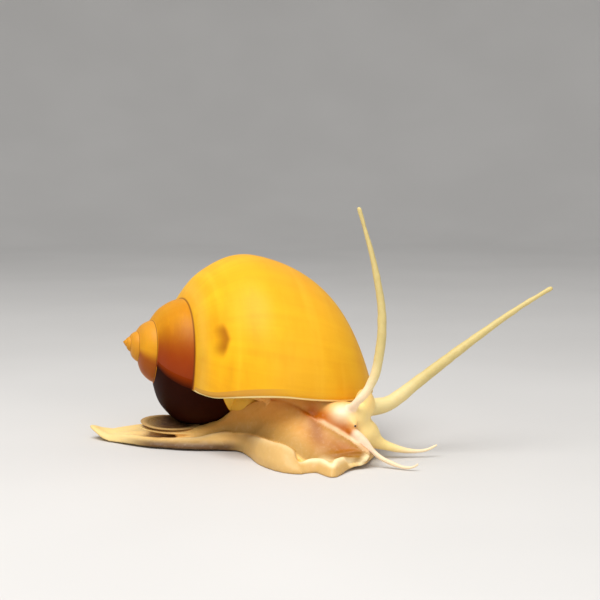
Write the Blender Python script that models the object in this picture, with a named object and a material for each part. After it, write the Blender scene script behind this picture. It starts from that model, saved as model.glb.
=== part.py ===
"""Apple snail at rest: a still, life-size model of a golden adult, in metres.

+X runs towards the head, +Y away from the animal's right side, +Z up.
The origin is on the flat sole, under the coiling axis of the shell.
Lengths below are millimetres and angles are degrees unless a name says otherwise.
"""
import math

import bmesh
import bpy
import numpy as np

MM = 0.001
GAP = 0.3

# Shell: one whorl profile that grows by a fixed ratio each turn about the coiling axis
WHORL_RATIO = 2.0425
AXIS_PITCH = math.radians(10.14)
AXIS_YAW = math.radians(15.13)
APEX = np.array([-23.68, 0.22, 21.015])
LIP_ANGLE = math.radians(117.41)
PERIPHERY = np.array([28.93, 27.01])
BASE_END = np.array([52.96, 7.43])
SUTURE_SLOPE = 0.9994
SHOULDER_ANGLE = math.radians(67.14)
SHOULDER_HANDLES = (6.32, 7.68)
BASE_HANDLES = (8.59, 15.69)
BASE_ANGLE = math.radians(90.88)
UMBILICUS_SHARE = 0.66
SHELL_TURNS = 5
STEPS_PER_TURN = 40
SHOULDER_STEPS = 7
BASE_STEPS = 11

# Lip: it stops short of the suture's end, so that it lies nearly level over the foot
LIP_RETREAT = math.radians(20.34)
LIP_RETREAT_REACH = 0.43
LIP_RETREAT_LATE = math.radians(2.01)
LIP_BLEND_TURNS = 0.45

# Room inside the last whorl and the mantle that fills it
SHELL_WALL = 1.0
ROOM_FRONT = math.radians(14)
ROOM_STEP = math.radians(7)
ROOM_RINGS = 12
MANTLE_INSET = 2.0
MANTLE_GAP = 1.4 * GAP
PROFILE_START = 12.5
PROFILE_ROUNDS = 60
PROFILE_POINTS = 400
COLUMELLA_SHARES = (0.35, 0.7)
COLUMELLA_SHIFTS = (0.65, 0.3)

# Foot outline: stations along X, with the near edge, far edge and heights at each
FOOT_X = (-31.5, -29.5, -26.2, -22.2, -15.3, -8.0, -1.0, 2.5, 4.8, 7.5, 10.5, 12.6, 14.4, 16.2,
          18.3, 20.0, 21.6, 23.4, 25.2, 26.6)
FOOT_NEAR = (5.2, 3.9, 1.4, -2.0, -5.0, -6.5, -6.3, -12.8, -19.0, -23.2, -25.5, -25.6, -23.6, -26.0,
             -28.0, -24.8, -21.4, -18.0, -13.2, -9.4)
FOOT_FAR = (6.6, 8.2, 9.6, 10.6, 11.2, 11.4, 11.6, 12.0, 12.4, 12.6, 12.2, 11.8, 11.2, 10.4,
            9.2, 8.0, 6.4, 3.8, -0.4, -5.0)
FOOT_RIM = (0.9, 1.5, 2.1, 2.4, 2.6, 2.7, 3.1, 3.4, 3.5, 3.7, 4.1, 3.9, 2.7, 3.4,
            2.5, 3.4, 3.5, 3.1, 2.5, 1.6)
FOOT_CREST = (1.1, 1.9, 2.4, 2.6, 2.7, 2.7, 3.4, 3.9, 4.5, 5.6, 7.0, 8.3, 8.9, 8.5,
              7.6, 6.6, 5.6, 4.4, 3.2, 1.8)
FOOT_MIDDLE = (1.1, 2.0, 2.6, 2.7, 2.7, 2.7, 3.0, 3.0, 3.2, 3.4, 3.6, 3.6, 3.6, 3.6,
               3.5, 3.4, 3.2, 3.0, 2.5, 1.7)
FOOT_STEP = 1.25
TAIL_LIFT_X = -26.5
TAIL_LIFT = 2.5
FOOT_CUTS = (-13.0, 6.0)

# Neck: it rises from the foot into the opening of the shell
# Each level is a height, the centre there, and half the length and width
NECK_HEADING = math.radians(-25)
NECK_LEVELS = ((1.0, 7.2, -3.0, 14.4, 4.4), (4.0, 8.4, -3.8, 13.0, 5.0),
               (7.0, 10.6, -5.1, 11.2, 6.2), (10.0, 11.6, -5.9, 10.6, 7.0),
               (13.0, 11.6, -6.1, 9.2, 6.8), (17.0, 11.2, -6.0, 8.0, 6.2))
NECK_SIDES = 28
NECK_SQUARENESS = 0.85

# Head: short and blunt, turned a little to the animal's right
# Each station is a distance ahead of the centre, half the width and height, and a rise
HEAD_CENTRE = np.array([22.5, -12.55, 7.2])
HEAD_HEADING = math.radians(-29)
HEAD_STATIONS = ((-10.0, 5.2, 4.4, 0.4), (-6.5, 5.5, 4.7, 0.5), (-3.0, 5.7, 4.8, 0.4),
                 (-0.6, 5.4, 4.6, 0.0), (1.4, 4.6, 4.1, -0.5), (2.8, 3.6, 3.3, -1.1),
                 (3.8, 2.4, 2.1, -1.6))
HEAD_RINGS = 14
HEAD_SIDES = 24
HEAD_NECK_CUT = -5.0
MOUTH_WIDTH = 0.9
MOUTH_HEIGHT = 3.0
MOUTH_DEPTH = 1.3

# Feelers: points and radii along each one, root first
TENTACLE_RIGHT = ((20.8, -14.9, 9.2, 1.3), (22.2, -17.1, 11.2, 1.25), (23.1, -18.0, 12.4, 1.15),
                  (24.2, -18.5, 13.7, 1.08), (25.4, -18.5, 15.7, 1.0), (26.3, -18.5, 18.0, 0.97),
                  (27.0, -18.5, 21.6, 0.92), (27.4, -18.4, 25.9, 0.86), (27.3, -18.1, 30.0, 0.78),
                  (26.8, -18.0, 33.6, 0.7), (25.6, -17.8, 39.6, 0.52), (24.1, -17.6, 45.0, 0.38),
                  (23.2, -17.5, 48.1, 0.42), (23.0, -17.5, 48.7, 0.34))
TENTACLE_LEFT = ((23.4, -10.9, 9.0, 1.5), (26.0, -10.0, 9.6, 1.65), (27.6, -9.5, 9.75, 1.58),
                 (29.2, -9.0, 10.1, 1.46), (31.4, -8.4, 11.4, 1.36), (36.0, -7.8, 14.9, 1.15),
                 (41.8, -7.6, 19.4, 0.96), (47.8, -7.5, 23.9, 0.74), (53.7, -7.4, 28.1, 0.57),
                 (58.9, -7.3, 31.4, 0.4), (60.6, -7.3, 32.4, 0.45), (61.1, -7.3, 32.65, 0.34))
PALP_RIGHT = ((21.4, -16.2, 6.0, 0.9), (22.6, -18.1, 5.7, 0.9), (23.6, -19.0, 5.1, 0.9),
              (24.5, -19.4, 4.4, 0.78), (25.7, -20.0, 3.1, 0.55), (27.3, -20.6, 1.9, 0.48),
              (28.9, -21.2, 1.2, 0.42), (30.4, -21.9, 0.75, 0.36), (31.8, -22.6, 0.6, 0.3),
              (33.2, -23.0, 0.75, 0.22), (34.0, -23.2, 1.3, 0.16))
PALP_LEFT = ((23.8, -13.6, 5.0, 2.1), (25.6, -13.1, 4.1, 1.65), (28.0, -12.6, 2.8, 1.05),
             (30.4, -12.3, 2.0, 0.74), (33.0, -12.0, 1.4, 0.5), (35.5, -11.8, 1.3, 0.36),
             (37.2, -11.6, 1.7, 0.28), (38.6, -11.6, 2.4, 0.18))
STALK_RIGHT = ((21.0, -15.6, 8.2, 1.3), (21.6, -16.8, 8.0, 1.0), (22.1, -17.8, 7.8, 0.7),
               (22.3, -18.3, 7.7, 0.5))
STALK_LEFT = ((24.2, -8.6, 8.6, 1.6), (25.2, -7.6, 8.8, 1.3), (26.1, -6.8, 9.0, 1.05),
              (26.8, -6.2, 9.2, 0.85))
SIPHON = ((19.4, -3.4, 7.4, 1.9), (21.4, -1.6, 7.6, 1.7), (23.4, -0.4, 7.4, 1.5), (25.2, 0.4, 7.0, 1.15))
ROOT_SHARE = 0.17
STALK_SHARE = 0.3
SIPHON_SHARE = 0.25
TENTACLE_JOINTS = (0.44, 0.73)
TUBE_SIDES = 12
EYE_RADII = {"right": 0.36, "left": 0.6}
EYE_FLAT = 0.35
EYE_TOP = 0.97
EYE_RINGS = 8

# Operculum: the horny door, carried on the back of the tail
OPERCULUM_CENTRE = np.array([-14.6, 1.6, 3.75])
OPERCULUM_HALF = (6.0, 5.3)
OPERCULUM_THICK = 0.6
OPERCULUM_DISH = 0.5
OPERCULUM_SIDES = 32
OPERCULUM_PITCH = math.radians(-4)
OPERCULUM_ROLL = math.radians(5)
OPERCULUM_PAD = 3.2
OPERCULUM_PAD_AHEAD = 1.5
OPERCULUM_PAD_FOOT = 2.0

# How far round a body's edges may turn before they count as sharp
SHARP_ANGLE = math.radians(40)

COLOURS = {
    "shell": (0.86, 0.53, 0.06, 0.25),
    "operculum": (0.18, 0.09, 0.04, 0.5),
    "flesh": (0.72, 0.5, 0.22, 0.45),
    "feeler": (0.76, 0.58, 0.28, 0.45),
    "eye": (0.02, 0.02, 0.02, 0.15),
}


def clear_scene():
    for obj in list(bpy.data.objects):
        bpy.data.objects.remove(obj)


def make_collections():
    parts = bpy.data.collections.new("apple_snail")
    cutters = bpy.data.collections.new("cutters")
    for collection in (parts, cutters):
        bpy.context.scene.collection.children.link(collection)
    return parts, cutters


def make_material(name):
    red, green, blue, rough = COLOURS[name]
    material = bpy.data.materials.new(name)
    material.use_nodes = True
    shader = material.node_tree.nodes["Principled BSDF"]
    shader.inputs["Base Color"].default_value = (red, green, blue, 1)
    shader.inputs["Roughness"].default_value = rough
    shader.inputs["Metallic"].default_value = 0
    return material


def curve_values(knots, values, where):
    """Smooth values through the knots, by cubic pieces whose slopes never overshoot."""
    knots = np.asarray(knots, float)
    values = np.asarray(values, float)
    where = np.atleast_1d(where)
    steps = np.diff(knots)
    rises = np.diff(values) / steps
    slopes = np.zeros(len(knots))
    slopes[0], slopes[-1] = rises[0], rises[-1]
    for i in range(1, len(knots) - 1):
        before, after = rises[i - 1], rises[i]
        if before * after > 0:
            slopes[i] = 2 * before * after / (before + after)
    index = np.clip(np.searchsorted(knots, where) - 1, 0, len(knots) - 2)
    width = steps[index]
    part = (where - knots[index]) / width
    keep = 1 - part
    return (values[index] * keep ** 2 * (1 + 2 * part) + values[index + 1] * part ** 2 * (3 - 2 * part)
            + slopes[index] * width * part * keep ** 2 - slopes[index + 1] * width * part ** 2 * keep)


def mesh_object(name, points, faces, collection):
    """A closed mesh object from points in millimetres, with its faces turned outwards."""
    shape = bmesh.new()
    corners = [shape.verts.new(tuple(float(c) * MM for c in point)) for point in points]
    for face in faces:
        shape.faces.new([corners[i] for i in face])
    bmesh.ops.recalc_face_normals(shape, faces=shape.faces)
    if shape.calc_volume(signed=True) < 0:
        bmesh.ops.reverse_faces(shape, faces=shape.faces)
    mesh = bpy.data.meshes.new(name)
    shape.to_mesh(mesh)
    shape.free()
    obj = bpy.data.objects.new(name, mesh)
    collection.objects.link(obj)
    return obj


def loft(name, rings, collection):
    """A closed body through rings of equal length, with a fan of triangles at each end."""
    count = len(rings[0])
    points = [point for ring in rings for point in ring]
    faces = []
    for k in range(len(rings) - 1):
        for j in range(count):
            here, there = k * count + j, k * count + (j + 1) % count
            faces.append((here, there, there + count))
            faces.append((here, there + count, here + count))
    for ring, start in ((rings[0], 0), (rings[-1], (len(rings) - 1) * count)):
        points.append(np.mean(ring, axis=0))
        for j in range(count):
            faces.append((start + j, start + (j + 1) % count, len(points) - 1))
    return mesh_object(name, points, faces, collection)


def apply_modifiers(obj):
    graph = bpy.context.evaluated_depsgraph_get()
    mesh = bpy.data.meshes.new_from_object(obj.evaluated_get(graph))
    obj.modifiers.clear()
    obj.data = mesh


def keep_largest(obj):
    """Leave only the closed surface that holds the most volume."""
    shape = bmesh.new()
    shape.from_mesh(obj.data)
    bmesh.ops.remove_doubles(shape, verts=shape.verts, dist=0.000001)
    bmesh.ops.dissolve_degenerate(shape, edges=shape.edges, dist=0.000001)
    bmesh.ops.triangulate(shape, faces=shape.faces)
    seen = set()
    bodies = []
    for face in shape.faces:
        if face in seen:
            continue
        body, edge_of_body = [], [face]
        seen.add(face)
        while edge_of_body:
            current = edge_of_body.pop()
            body.append(current)
            for edge in current.edges:
                for other in edge.link_faces:
                    if other not in seen:
                        seen.add(other)
                        edge_of_body.append(other)
        volume = sum(f.verts[0].co.dot(f.verts[1].co.cross(f.verts[2].co)) for f in body) / 6
        bodies.append((abs(volume), body))
    bodies.sort(key=lambda item: item[0])
    for volume, body in bodies[:-1]:
        bmesh.ops.delete(shape, geom=body, context="FACES")
    loose = [vert for vert in shape.verts if not vert.link_faces]
    bmesh.ops.delete(shape, geom=loose, context="VERTS")
    shape.to_mesh(obj.data)
    shape.free()


def combine(obj, others, operation):
    """One Boolean of obj with a collection of closed meshes, applied, with the others removed."""
    pieces = bpy.data.collections.new(obj.name + "_pieces")
    for other in others:
        pieces.objects.link(other)
    modifier = obj.modifiers.new("combine", "BOOLEAN")
    modifier.operation = operation
    modifier.operand_type = "COLLECTION"
    modifier.collection = pieces
    modifier.solver = "MANIFOLD"
    bpy.context.scene.collection.children.link(pieces)
    apply_modifiers(obj)
    for other in list(others):
        bpy.data.objects.remove(other)
    bpy.data.collections.remove(pieces)
    keep_largest(obj)
    return obj


def cut(obj, cutters, operation="DIFFERENCE"):
    """Cut obj by each cutter in turn and leave the cutters as they are."""
    for cutter in cutters:
        modifier = obj.modifiers.new("cut", "BOOLEAN")
        modifier.operation = operation
        modifier.object = cutter
        modifier.solver = "MANIFOLD"
        apply_modifiers(obj)
    keep_largest(obj)
    return obj


def half_space(name, point, normal, collection, size=90.0):
    """A big block that fills one side of a plane, the side its normal points to."""
    normal = np.asarray(normal, float)
    normal = normal / np.linalg.norm(normal)
    side = np.cross(normal, (0, 0, 1) if abs(normal[2]) < 0.9 else (1, 0, 0))
    side = side / np.linalg.norm(side)
    other = np.cross(normal, side)
    corners = ((-1, -1), (1, -1), (1, 1), (-1, 1))
    square = [np.asarray(point) + size * (a * side + b * other) for a, b in corners]
    return loft(name, [square, [corner + size * normal for corner in square]], collection)


# Shell geometry

def bezier(start, handle_a, handle_b, end, count):
    part = np.linspace(0, 1, count)[:, None]
    keep = 1 - part
    return (keep ** 3 * start + 3 * keep ** 2 * part * handle_a
            + 3 * keep * part ** 2 * handle_b + part ** 3 * end)


def whorl_profile():
    """Points (along axis, from axis) of the whorl at the lip, and which one carries the suture."""
    start = np.array([PROFILE_START, PROFILE_START])
    lean = np.array([math.cos(SHOULDER_ANGLE), math.sin(SHOULDER_ANGLE)])
    tuck = np.array([math.cos(BASE_ANGLE), math.sin(BASE_ANGLE)])
    for _ in range(PROFILE_ROUNDS):
        shoulder = bezier(start, start + SHOULDER_HANDLES[0] * lean,
                          PERIPHERY - np.array([SHOULDER_HANDLES[1], 0]), PERIPHERY,
                          PROFILE_POINTS)
        base = bezier(PERIPHERY, PERIPHERY + np.array([BASE_HANDLES[0], 0]),
                      BASE_END + BASE_HANDLES[1] * tuck, BASE_END, PROFILE_POINTS)
        fine = np.vstack([shoulder, base[1:]])
        above = fine[:, 1] - SUTURE_SLOPE * fine[:, 0]
        far = range(PROFILE_POINTS // 8, len(above) - 1)
        crossing = next(i for i in far if above[i] > 0 >= above[i + 1])
        share = above[crossing] / (above[crossing] - above[crossing + 1])
        touch = fine[crossing] + share * (fine[crossing + 1] - fine[crossing])
        start = 0.5 * start + 0.5 * touch / WHORL_RATIO
    lengths = np.concatenate([[0], np.cumsum(np.linalg.norm(np.diff(fine, axis=0), axis=1))])
    seat = lengths[crossing] + share * (lengths[crossing + 1] - lengths[crossing])
    marks = np.concatenate([np.linspace(0, seat, SHOULDER_STEPS + 1),
                            np.linspace(seat, lengths[-1], BASE_STEPS + 1)[1:]])
    profile = np.stack([np.interp(marks, lengths, fine[:, axis]) for axis in (0, 1)], -1)
    return profile, marks / lengths[-1]


def outward(profile):
    """Unit normals of the profile that point away from the whorl's inside."""
    along = np.gradient(profile, axis=0)
    along /= np.linalg.norm(along, axis=1, keepdims=True)
    return np.stack([-along[:, 1], along[:, 0]], -1)


def shell_axes():
    along = np.array([math.cos(AXIS_PITCH) * math.cos(AXIS_YAW),
                      math.cos(AXIS_PITCH) * math.sin(AXIS_YAW), -math.sin(AXIS_PITCH)])
    upper = np.array([0, 0, 1.0]) - along * along[2]
    upper /= np.linalg.norm(upper)
    return along, upper, np.cross(along, upper)


def growth(turn_angle):
    return np.exp(math.log(WHORL_RATIO) / (2 * math.pi) * np.asarray(turn_angle))


def shell_point(axial, radial, turn_angle):
    """World place of a point given by its own axial and radial lengths at a turn angle."""
    along, upper, near = shell_axes()
    angle = turn_angle + LIP_ANGLE
    return APEX + axial * along + radial * (math.cos(angle) * upper + math.sin(angle) * near)


def lip_shift(share):
    late = np.clip((share - 0.5) / 0.5, 0, 1) ** 2
    return (-LIP_RETREAT * np.sin(np.clip(share / LIP_RETREAT_REACH, 0, 1) * math.pi / 2)
            - LIP_RETREAT_LATE * late)


def lip_blend(step):
    rest = max(0.0, 1 - step / (STEPS_PER_TURN * LIP_BLEND_TURNS))
    return rest * rest * (3 - 2 * rest)


def shell_solid(name, collection, grow=0.0, ahead=0.0):
    """The closed outer form of the shell, its surface moved out by grow and its mouth by ahead."""
    profile, share = whorl_profile()
    normals = outward(profile)
    turn_steps, seat, last = STEPS_PER_TURN, SHOULDER_STEPS, len(profile) - 1
    final = turn_steps * SHELL_TURNS
    points, place = [], {}

    def angle_of(i, j):
        angle = -2 * math.pi * i / turn_steps + lip_shift(share[j]) * lip_blend(i)
        if i == 0 or (i == turn_steps and j >= seat):
            angle += ahead / (profile[j][1] * float(growth(angle)))
        return angle

    def add(i, j):
        angle = angle_of(i, j)
        axial, radial = profile[j] * float(growth(angle)) + grow * normals[j]
        points.append(shell_point(axial, radial, angle))
        place[(i, j)] = len(points) - 1

    for i in range(final + 1):
        for j in range(1, (last if i <= turn_steps else seat) + 1):
            add(i, j)
        if i > final - turn_steps:
            add(i, 0)
    for i in range(final - turn_steps + 1):
        place[(i, 0)] = place[(i + turn_steps, seat)]

    faces = []
    for i in range(final):
        for j in range(last if i < turn_steps else seat):
            corner = [place[(i, j)], place[(i, j + 1)], place[(i + 1, j + 1)], place[(i + 1, j)]]
            faces.append((corner[0], corner[1], corner[2]))
            faces.append((corner[0], corner[2], corner[3]))

    axis_points = []
    for i in range(turn_steps + 1):
        angle = angle_of(i, last)
        axial = UMBILICUS_SHARE * profile[last][0] * float(growth(angle)) + grow * normals[last][0]
        points.append(shell_point(axial, 0.0, angle))
        axis_points.append(len(points) - 1)
    for i in range(turn_steps):
        faces.append((place[(i, last)], axis_points[i], place[(i + 1, last)]))
        faces.append((axis_points[i], axis_points[i + 1], place[(i + 1, last)]))

    rim = [place[(0, j)] for j in range(last + 1)] + [axis_points[0]]
    inner = [place[(turn_steps, j)] for j in range(seat, last + 1)] + axis_points[::-1]
    faces += zip_chains(points, rim, inner)

    points.append(APEX + grow * -shell_axes()[0])
    centre = len(points) - 1
    edge = [place[(i, 0)] for i in range(final - turn_steps, final + 1)]
    edge += [place[(final, j)] for j in range(1, seat + 1)]
    for first, second in zip(edge[:-1], edge[1:]):
        faces.append((first, second, centre))
    return mesh_object(name, points, faces, collection)


def zip_chains(points, rim, inner):
    """Triangles between two chains of points that share their first and last points."""
    def measures(chain):
        steps = [np.linalg.norm(points[b] - points[a]) for a, b in zip(chain[:-1], chain[1:])]
        total = np.concatenate([[0], np.cumsum(steps)])
        return total / total[-1]
    rim_share, inner_share = measures(rim), measures(inner)
    faces, a, b = [], 0, 0
    while a < len(rim) - 1 or b < len(inner) - 1:
        rim_left, inner_left = a < len(rim) - 1, b < len(inner) - 1
        if not inner_left or (rim_left and rim_share[a + 1] <= inner_share[b + 1]):
            triangle = (rim[a], rim[a + 1], inner[b])
            a += 1
        else:
            triangle = (rim[a], inner[b + 1], inner[b])
            b += 1
        if len(set(triangle)) == 3:
            faces.append(triangle)
    return faces


def whorl_room(name, collection, count, pull=0.0):
    """The room inside the last whorl's wall, over a count of rings back from the lip.

    pull draws each ring in towards its middle, for what fills the room.
    """
    profile, share = whorl_profile()
    seat = SHOULDER_STEPS
    older = profile[seat:] / WHORL_RATIO
    outer_shift = lip_shift(share)
    columella = [profile[-1] + (older[-1] - profile[-1]) * part for part in COLUMELLA_SHARES]
    section = np.vstack([profile[1:], columella, older[::-1][:-1]])
    shift = np.concatenate([outer_shift[1:], outer_shift[-1] * np.array(COLUMELLA_SHIFTS),
                            np.zeros(len(older) - 1)])
    closed = np.vstack([section[-1], section, section[0]])
    along = closed[2:] - closed[:-2]
    along /= np.linalg.norm(along, axis=1, keepdims=True)
    inward = np.stack([along[:, 1], -along[:, 0]], -1)
    middle = section.mean(axis=0)
    rings = []
    for k in range(count):
        turn = ROOM_FRONT - k * ROOM_STEP
        ring = []
        for point, extra, direction in zip(section, shift, inward):
            angle = turn + extra
            place = point * float(growth(angle)) + SHELL_WALL * direction
            towards = middle * float(growth(angle)) - place
            place = place + pull * towards / np.linalg.norm(towards)
            ring.append(shell_point(place[0], place[1], angle))
        rings.append(ring)
    return loft(name, rings, collection)


# Flesh

def foot_section(x, grow):
    """One upright ring of the foot: flat sole, rounded rims, raised folds and a low middle."""
    near = float(curve_values(FOOT_X, FOOT_NEAR, x)[0]) - grow
    far = float(curve_values(FOOT_X, FOOT_FAR, x)[0]) + grow
    rim = float(curve_values(FOOT_X, FOOT_RIM, x)[0]) + grow
    crest = float(curve_values(FOOT_X, FOOT_CREST, x)[0]) + grow
    middle = float(curve_values(FOOT_X, FOOT_MIDDLE, x)[0]) + grow
    lift = TAIL_LIFT * (max(0.0, TAIL_LIFT_X - x) / (TAIL_LIFT_X - FOOT_X[0])) ** 1.6
    width = far - near
    rim_in = min(1.1, 0.2 * width)
    slope = max(0.3 * (crest - rim), 0.0)
    top = [(near, 0.45 * rim), (near + 0.35 * rim_in, 0.85 * rim), (near + rim_in, rim),
           (near + 0.15 * width, rim + slope), (near + 0.235 * width, crest - 0.12 * (crest - rim)),
           (near + 0.27 * width, crest), (near + 0.31 * width, crest - 0.3 * (crest - middle)),
           (near + 0.37 * width, middle), (near + 0.5 * width, middle), (far - 0.37 * width, middle),
           (far - 0.31 * width, crest - 0.3 * (crest - middle)), (far - 0.27 * width, crest),
           (far - 0.235 * width, crest - 0.12 * (crest - rim)), (far - 0.15 * width, rim + slope),
           (far - rim_in, rim), (far - 0.35 * rim_in, 0.85 * rim), (far, 0.45 * rim)]
    sole = [(far - 0.3 * rim_in, 0.0), (far - 0.3 * width, 0.0), (far - 0.5 * width, 0.0),
            (near + 0.3 * width, 0.0), (near + 0.3 * rim_in, 0.0)]
    return [np.array([x, y, z + lift - (grow if z == 0.0 else 0.0)]) for y, z in top + sole]


def foot_body(name, collection, grow=0.0):
    count = int((FOOT_X[-1] - FOOT_X[0]) / FOOT_STEP)
    rings = [foot_section(float(x), grow) for x in np.linspace(FOOT_X[0], FOOT_X[-1], count + 1)]
    for ring, push in ((rings[0], -grow), (rings[-1], grow)):
        for point in ring:
            point[0] += push
    return loft(name, rings, collection)


def neck_body(name, collection):
    ahead = np.array([math.cos(NECK_HEADING), math.sin(NECK_HEADING), 0])
    across = np.array([-ahead[1], ahead[0], 0])
    rings = []
    for height, x, y, half_length, half_width in NECK_LEVELS:
        centre = np.array([x, y, height])
        ring = []
        for angle in np.linspace(0, 2 * math.pi, NECK_SIDES, endpoint=False):
            cosine, sine = math.cos(angle), math.sin(angle)
            reach = half_length * math.copysign(abs(cosine) ** NECK_SQUARENESS, cosine)
            spread = half_width * math.copysign(abs(sine) ** NECK_SQUARENESS, sine)
            ring.append(centre + reach * ahead + spread * across)
        rings.append(ring)
    return loft(name, rings, collection)


def head_axes():
    ahead = np.array([math.cos(HEAD_HEADING), math.sin(HEAD_HEADING), 0])
    return ahead, np.array([-ahead[1], ahead[0], 0]), np.array([0, 0, 1.0])


def head_body(name, collection, grow=0.0):
    ahead, across, up = head_axes()
    knots = [station[0] for station in HEAD_STATIONS]
    rings = []
    for s in np.linspace(knots[0], knots[-1], HEAD_RINGS):
        half_width, half_height, rise = (
            float(curve_values(knots, [station[k] for station in HEAD_STATIONS], s)[0])
            for k in (1, 2, 3))
        centre = HEAD_CENTRE + (s + (grow if s > 0 else 0)) * ahead + rise * up
        half_width, half_height = half_width + grow, half_height + grow
        rings.append([centre + half_width * math.cos(angle) * across
                      + half_height * math.sin(angle) * up
                      for angle in np.linspace(0, 2 * math.pi, HEAD_SIDES, endpoint=False)])
    return loft(name, rings, collection)


def tube_rings(route, first, last, steps, gap_first=0.0):
    """Rings of a tapered tube along a smooth route, between two shares of its length."""
    route = np.asarray(route, float)
    marks = np.concatenate([[0], np.cumsum(np.linalg.norm(np.diff(route[:, :3], axis=0), axis=1))])
    total = marks[-1]
    wanted = np.linspace(first * total + gap_first, last * total, steps + 1)

    def place(at):
        return np.array([float(curve_values(marks, route[:, k], at)[0]) for k in range(3)])

    rings = []
    side = np.array([0.0, 1.0, 0.0])
    nearby = 0.05
    for at in wanted:
        low, high = max(0.0, at - nearby), min(total, at + nearby)
        along = place(high) - place(low)
        along /= np.linalg.norm(along)
        side = side - along * side.dot(along)
        side /= np.linalg.norm(side)
        other = np.cross(along, side)
        radius = float(curve_values(marks, route[:, 3], at)[0])
        rings.append([place(at) + radius * (math.cos(angle) * side + math.sin(angle) * other)
                      for angle in np.linspace(0, 2 * math.pi, TUBE_SIDES, endpoint=False)])
    return rings


def tube(name, route, collection, first=0.0, last=1.0, steps=6, gap_first=0.0):
    return loft(name, tube_rings(route, first, last, steps, gap_first=gap_first), collection)


def eye_ball(name, stalk, eye_radius, collection, grow=0.0):
    """A small ball that sits just off the flat end of its stalk."""
    rings = tube_rings(stalk, 0.0, 1.0, EYE_RINGS)
    tip = np.mean(rings[-1], axis=0)
    along = tip - np.mean(rings[-2], axis=0)
    along /= np.linalg.norm(along)
    centre = tip + along * (GAP + eye_radius * EYE_FLAT)
    side = rings[-1][0] - tip
    side = side - along * side.dot(along)
    side /= np.linalg.norm(side)
    other = np.cross(along, side)
    reach = eye_radius + grow
    ball = []
    for level in np.linspace(-EYE_FLAT, EYE_TOP, EYE_RINGS):
        radius = reach * math.sqrt(1 - level * level)
        ball.append([centre + reach * level * along
                     + radius * (math.cos(angle) * side + math.sin(angle) * other)
                     for angle in np.linspace(0, 2 * math.pi, TUBE_SIDES, endpoint=False)])
    return loft(name, ball, collection)


def operculum_body(name, collection, grow=0.0):
    """A thin oval plate, a little dished, with a pad under it that sits on the tail."""
    tilt_x = np.array([math.cos(OPERCULUM_PITCH), 0, math.sin(OPERCULUM_PITCH)])
    tilt_y = np.array([0, math.cos(OPERCULUM_ROLL), math.sin(OPERCULUM_ROLL)])
    up = np.cross(tilt_x, tilt_y)
    angles = np.linspace(0, 2 * math.pi, OPERCULUM_SIDES, endpoint=False)
    half_length, half_width = OPERCULUM_HALF[0] + grow, OPERCULUM_HALF[1] + grow

    def ring(share, lift):
        middle = OPERCULUM_CENTRE + (lift + OPERCULUM_DISH * share * share) * up
        return [middle + share * half_length * math.cos(a) * tilt_x
                + share * half_width * math.sin(a) * tilt_y for a in angles]

    thick = OPERCULUM_THICK / 2 + grow
    low = [ring(share, -thick) for share in (0.3, 0.65, 0.95)]
    high = [ring(share, thick) for share in (0.95, 0.65, 0.3)]
    plate = loft(name, low + [ring(1.0, 0.0)] + high, collection)
    pad_x, pad_y = OPERCULUM_CENTRE[0] + OPERCULUM_PAD_AHEAD, OPERCULUM_CENTRE[1]
    reach = OPERCULUM_PAD + grow
    pad = [[np.array([pad_x + reach * math.cos(a), pad_y + reach * math.sin(a), z])
            for a in angles] for z in (OPERCULUM_PAD_FOOT, OPERCULUM_CENTRE[2])]
    return combine(plate, [loft(name + "_pad", pad, collection)], "UNION")


def mouth_cutter(collection):
    """A narrow upright wedge that opens the line of the mouth in the front of the snout."""
    ahead, across, up = head_axes()
    front = HEAD_CENTRE + (HEAD_STATIONS[-1][0] + 0.6) * ahead + (HEAD_STATIONS[-1][3] - 0.2) * up
    rings = []
    for depth, width in ((0.0, MOUTH_WIDTH), (-(MOUTH_DEPTH + 0.6), 0.15)):
        rings.append([front + depth * ahead + 0.5 * width * math.cos(a) * across
                      + 0.5 * MOUTH_HEIGHT * math.sin(a) * up
                      for a in np.linspace(0, 2 * math.pi, TUBE_SIDES, endpoint=False)])
    return loft("mouth_cutter", rings, collection)


def finish(obj, parts, material):
    """Move a built node to the parts collection with its material, shaded smooth."""
    for collection in list(obj.users_collection):
        collection.objects.unlink(obj)
    parts.objects.link(obj)
    obj.data.materials.clear()
    obj.data.materials.append(material)
    obj.data.shade_smooth()
    obj.data.set_sharp_from_angle(angle=SHARP_ANGLE)
    obj.hide_render = False
    obj.display_type = "TEXTURED"


def wider(route):
    """The same route with its radius larger by the gap."""
    return [(x, y, z, radius + GAP) for x, y, z, radius in route]


def build_shell(parts, work, looks):
    shell = shell_solid("shell", work)
    cut(shell, [whorl_room("room", work, ROOM_RINGS)])
    finish(shell, parts, looks["shell"])
    mantle = whorl_room("mantle", work, ROOM_RINGS - 1, pull=MANTLE_GAP)
    cut(mantle, [shell_solid("mantle_limit", work, ahead=-MANTLE_INSET)], "INTERSECT")
    cut(mantle, [shell])
    finish(mantle, parts, looks["flesh"])


def build_foot(parts, work, looks, shell_keep_out):
    edges = [FOOT_X[0] - 10, *FOOT_CUTS, FOOT_X[-1] + 10]
    for k, name in enumerate(("foot_tail", "foot_middle", "foot_front")):
        piece = foot_body(name, work)
        behind = half_space("behind", (edges[k] + GAP / 2, 0, 0), (-1, 0, 0), work)
        ahead = half_space("ahead", (edges[k + 1] - GAP / 2, 0, 0), (1, 0, 0), work)
        cut(piece, [behind, ahead, shell_keep_out])
        finish(piece, parts, looks["flesh"])


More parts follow.
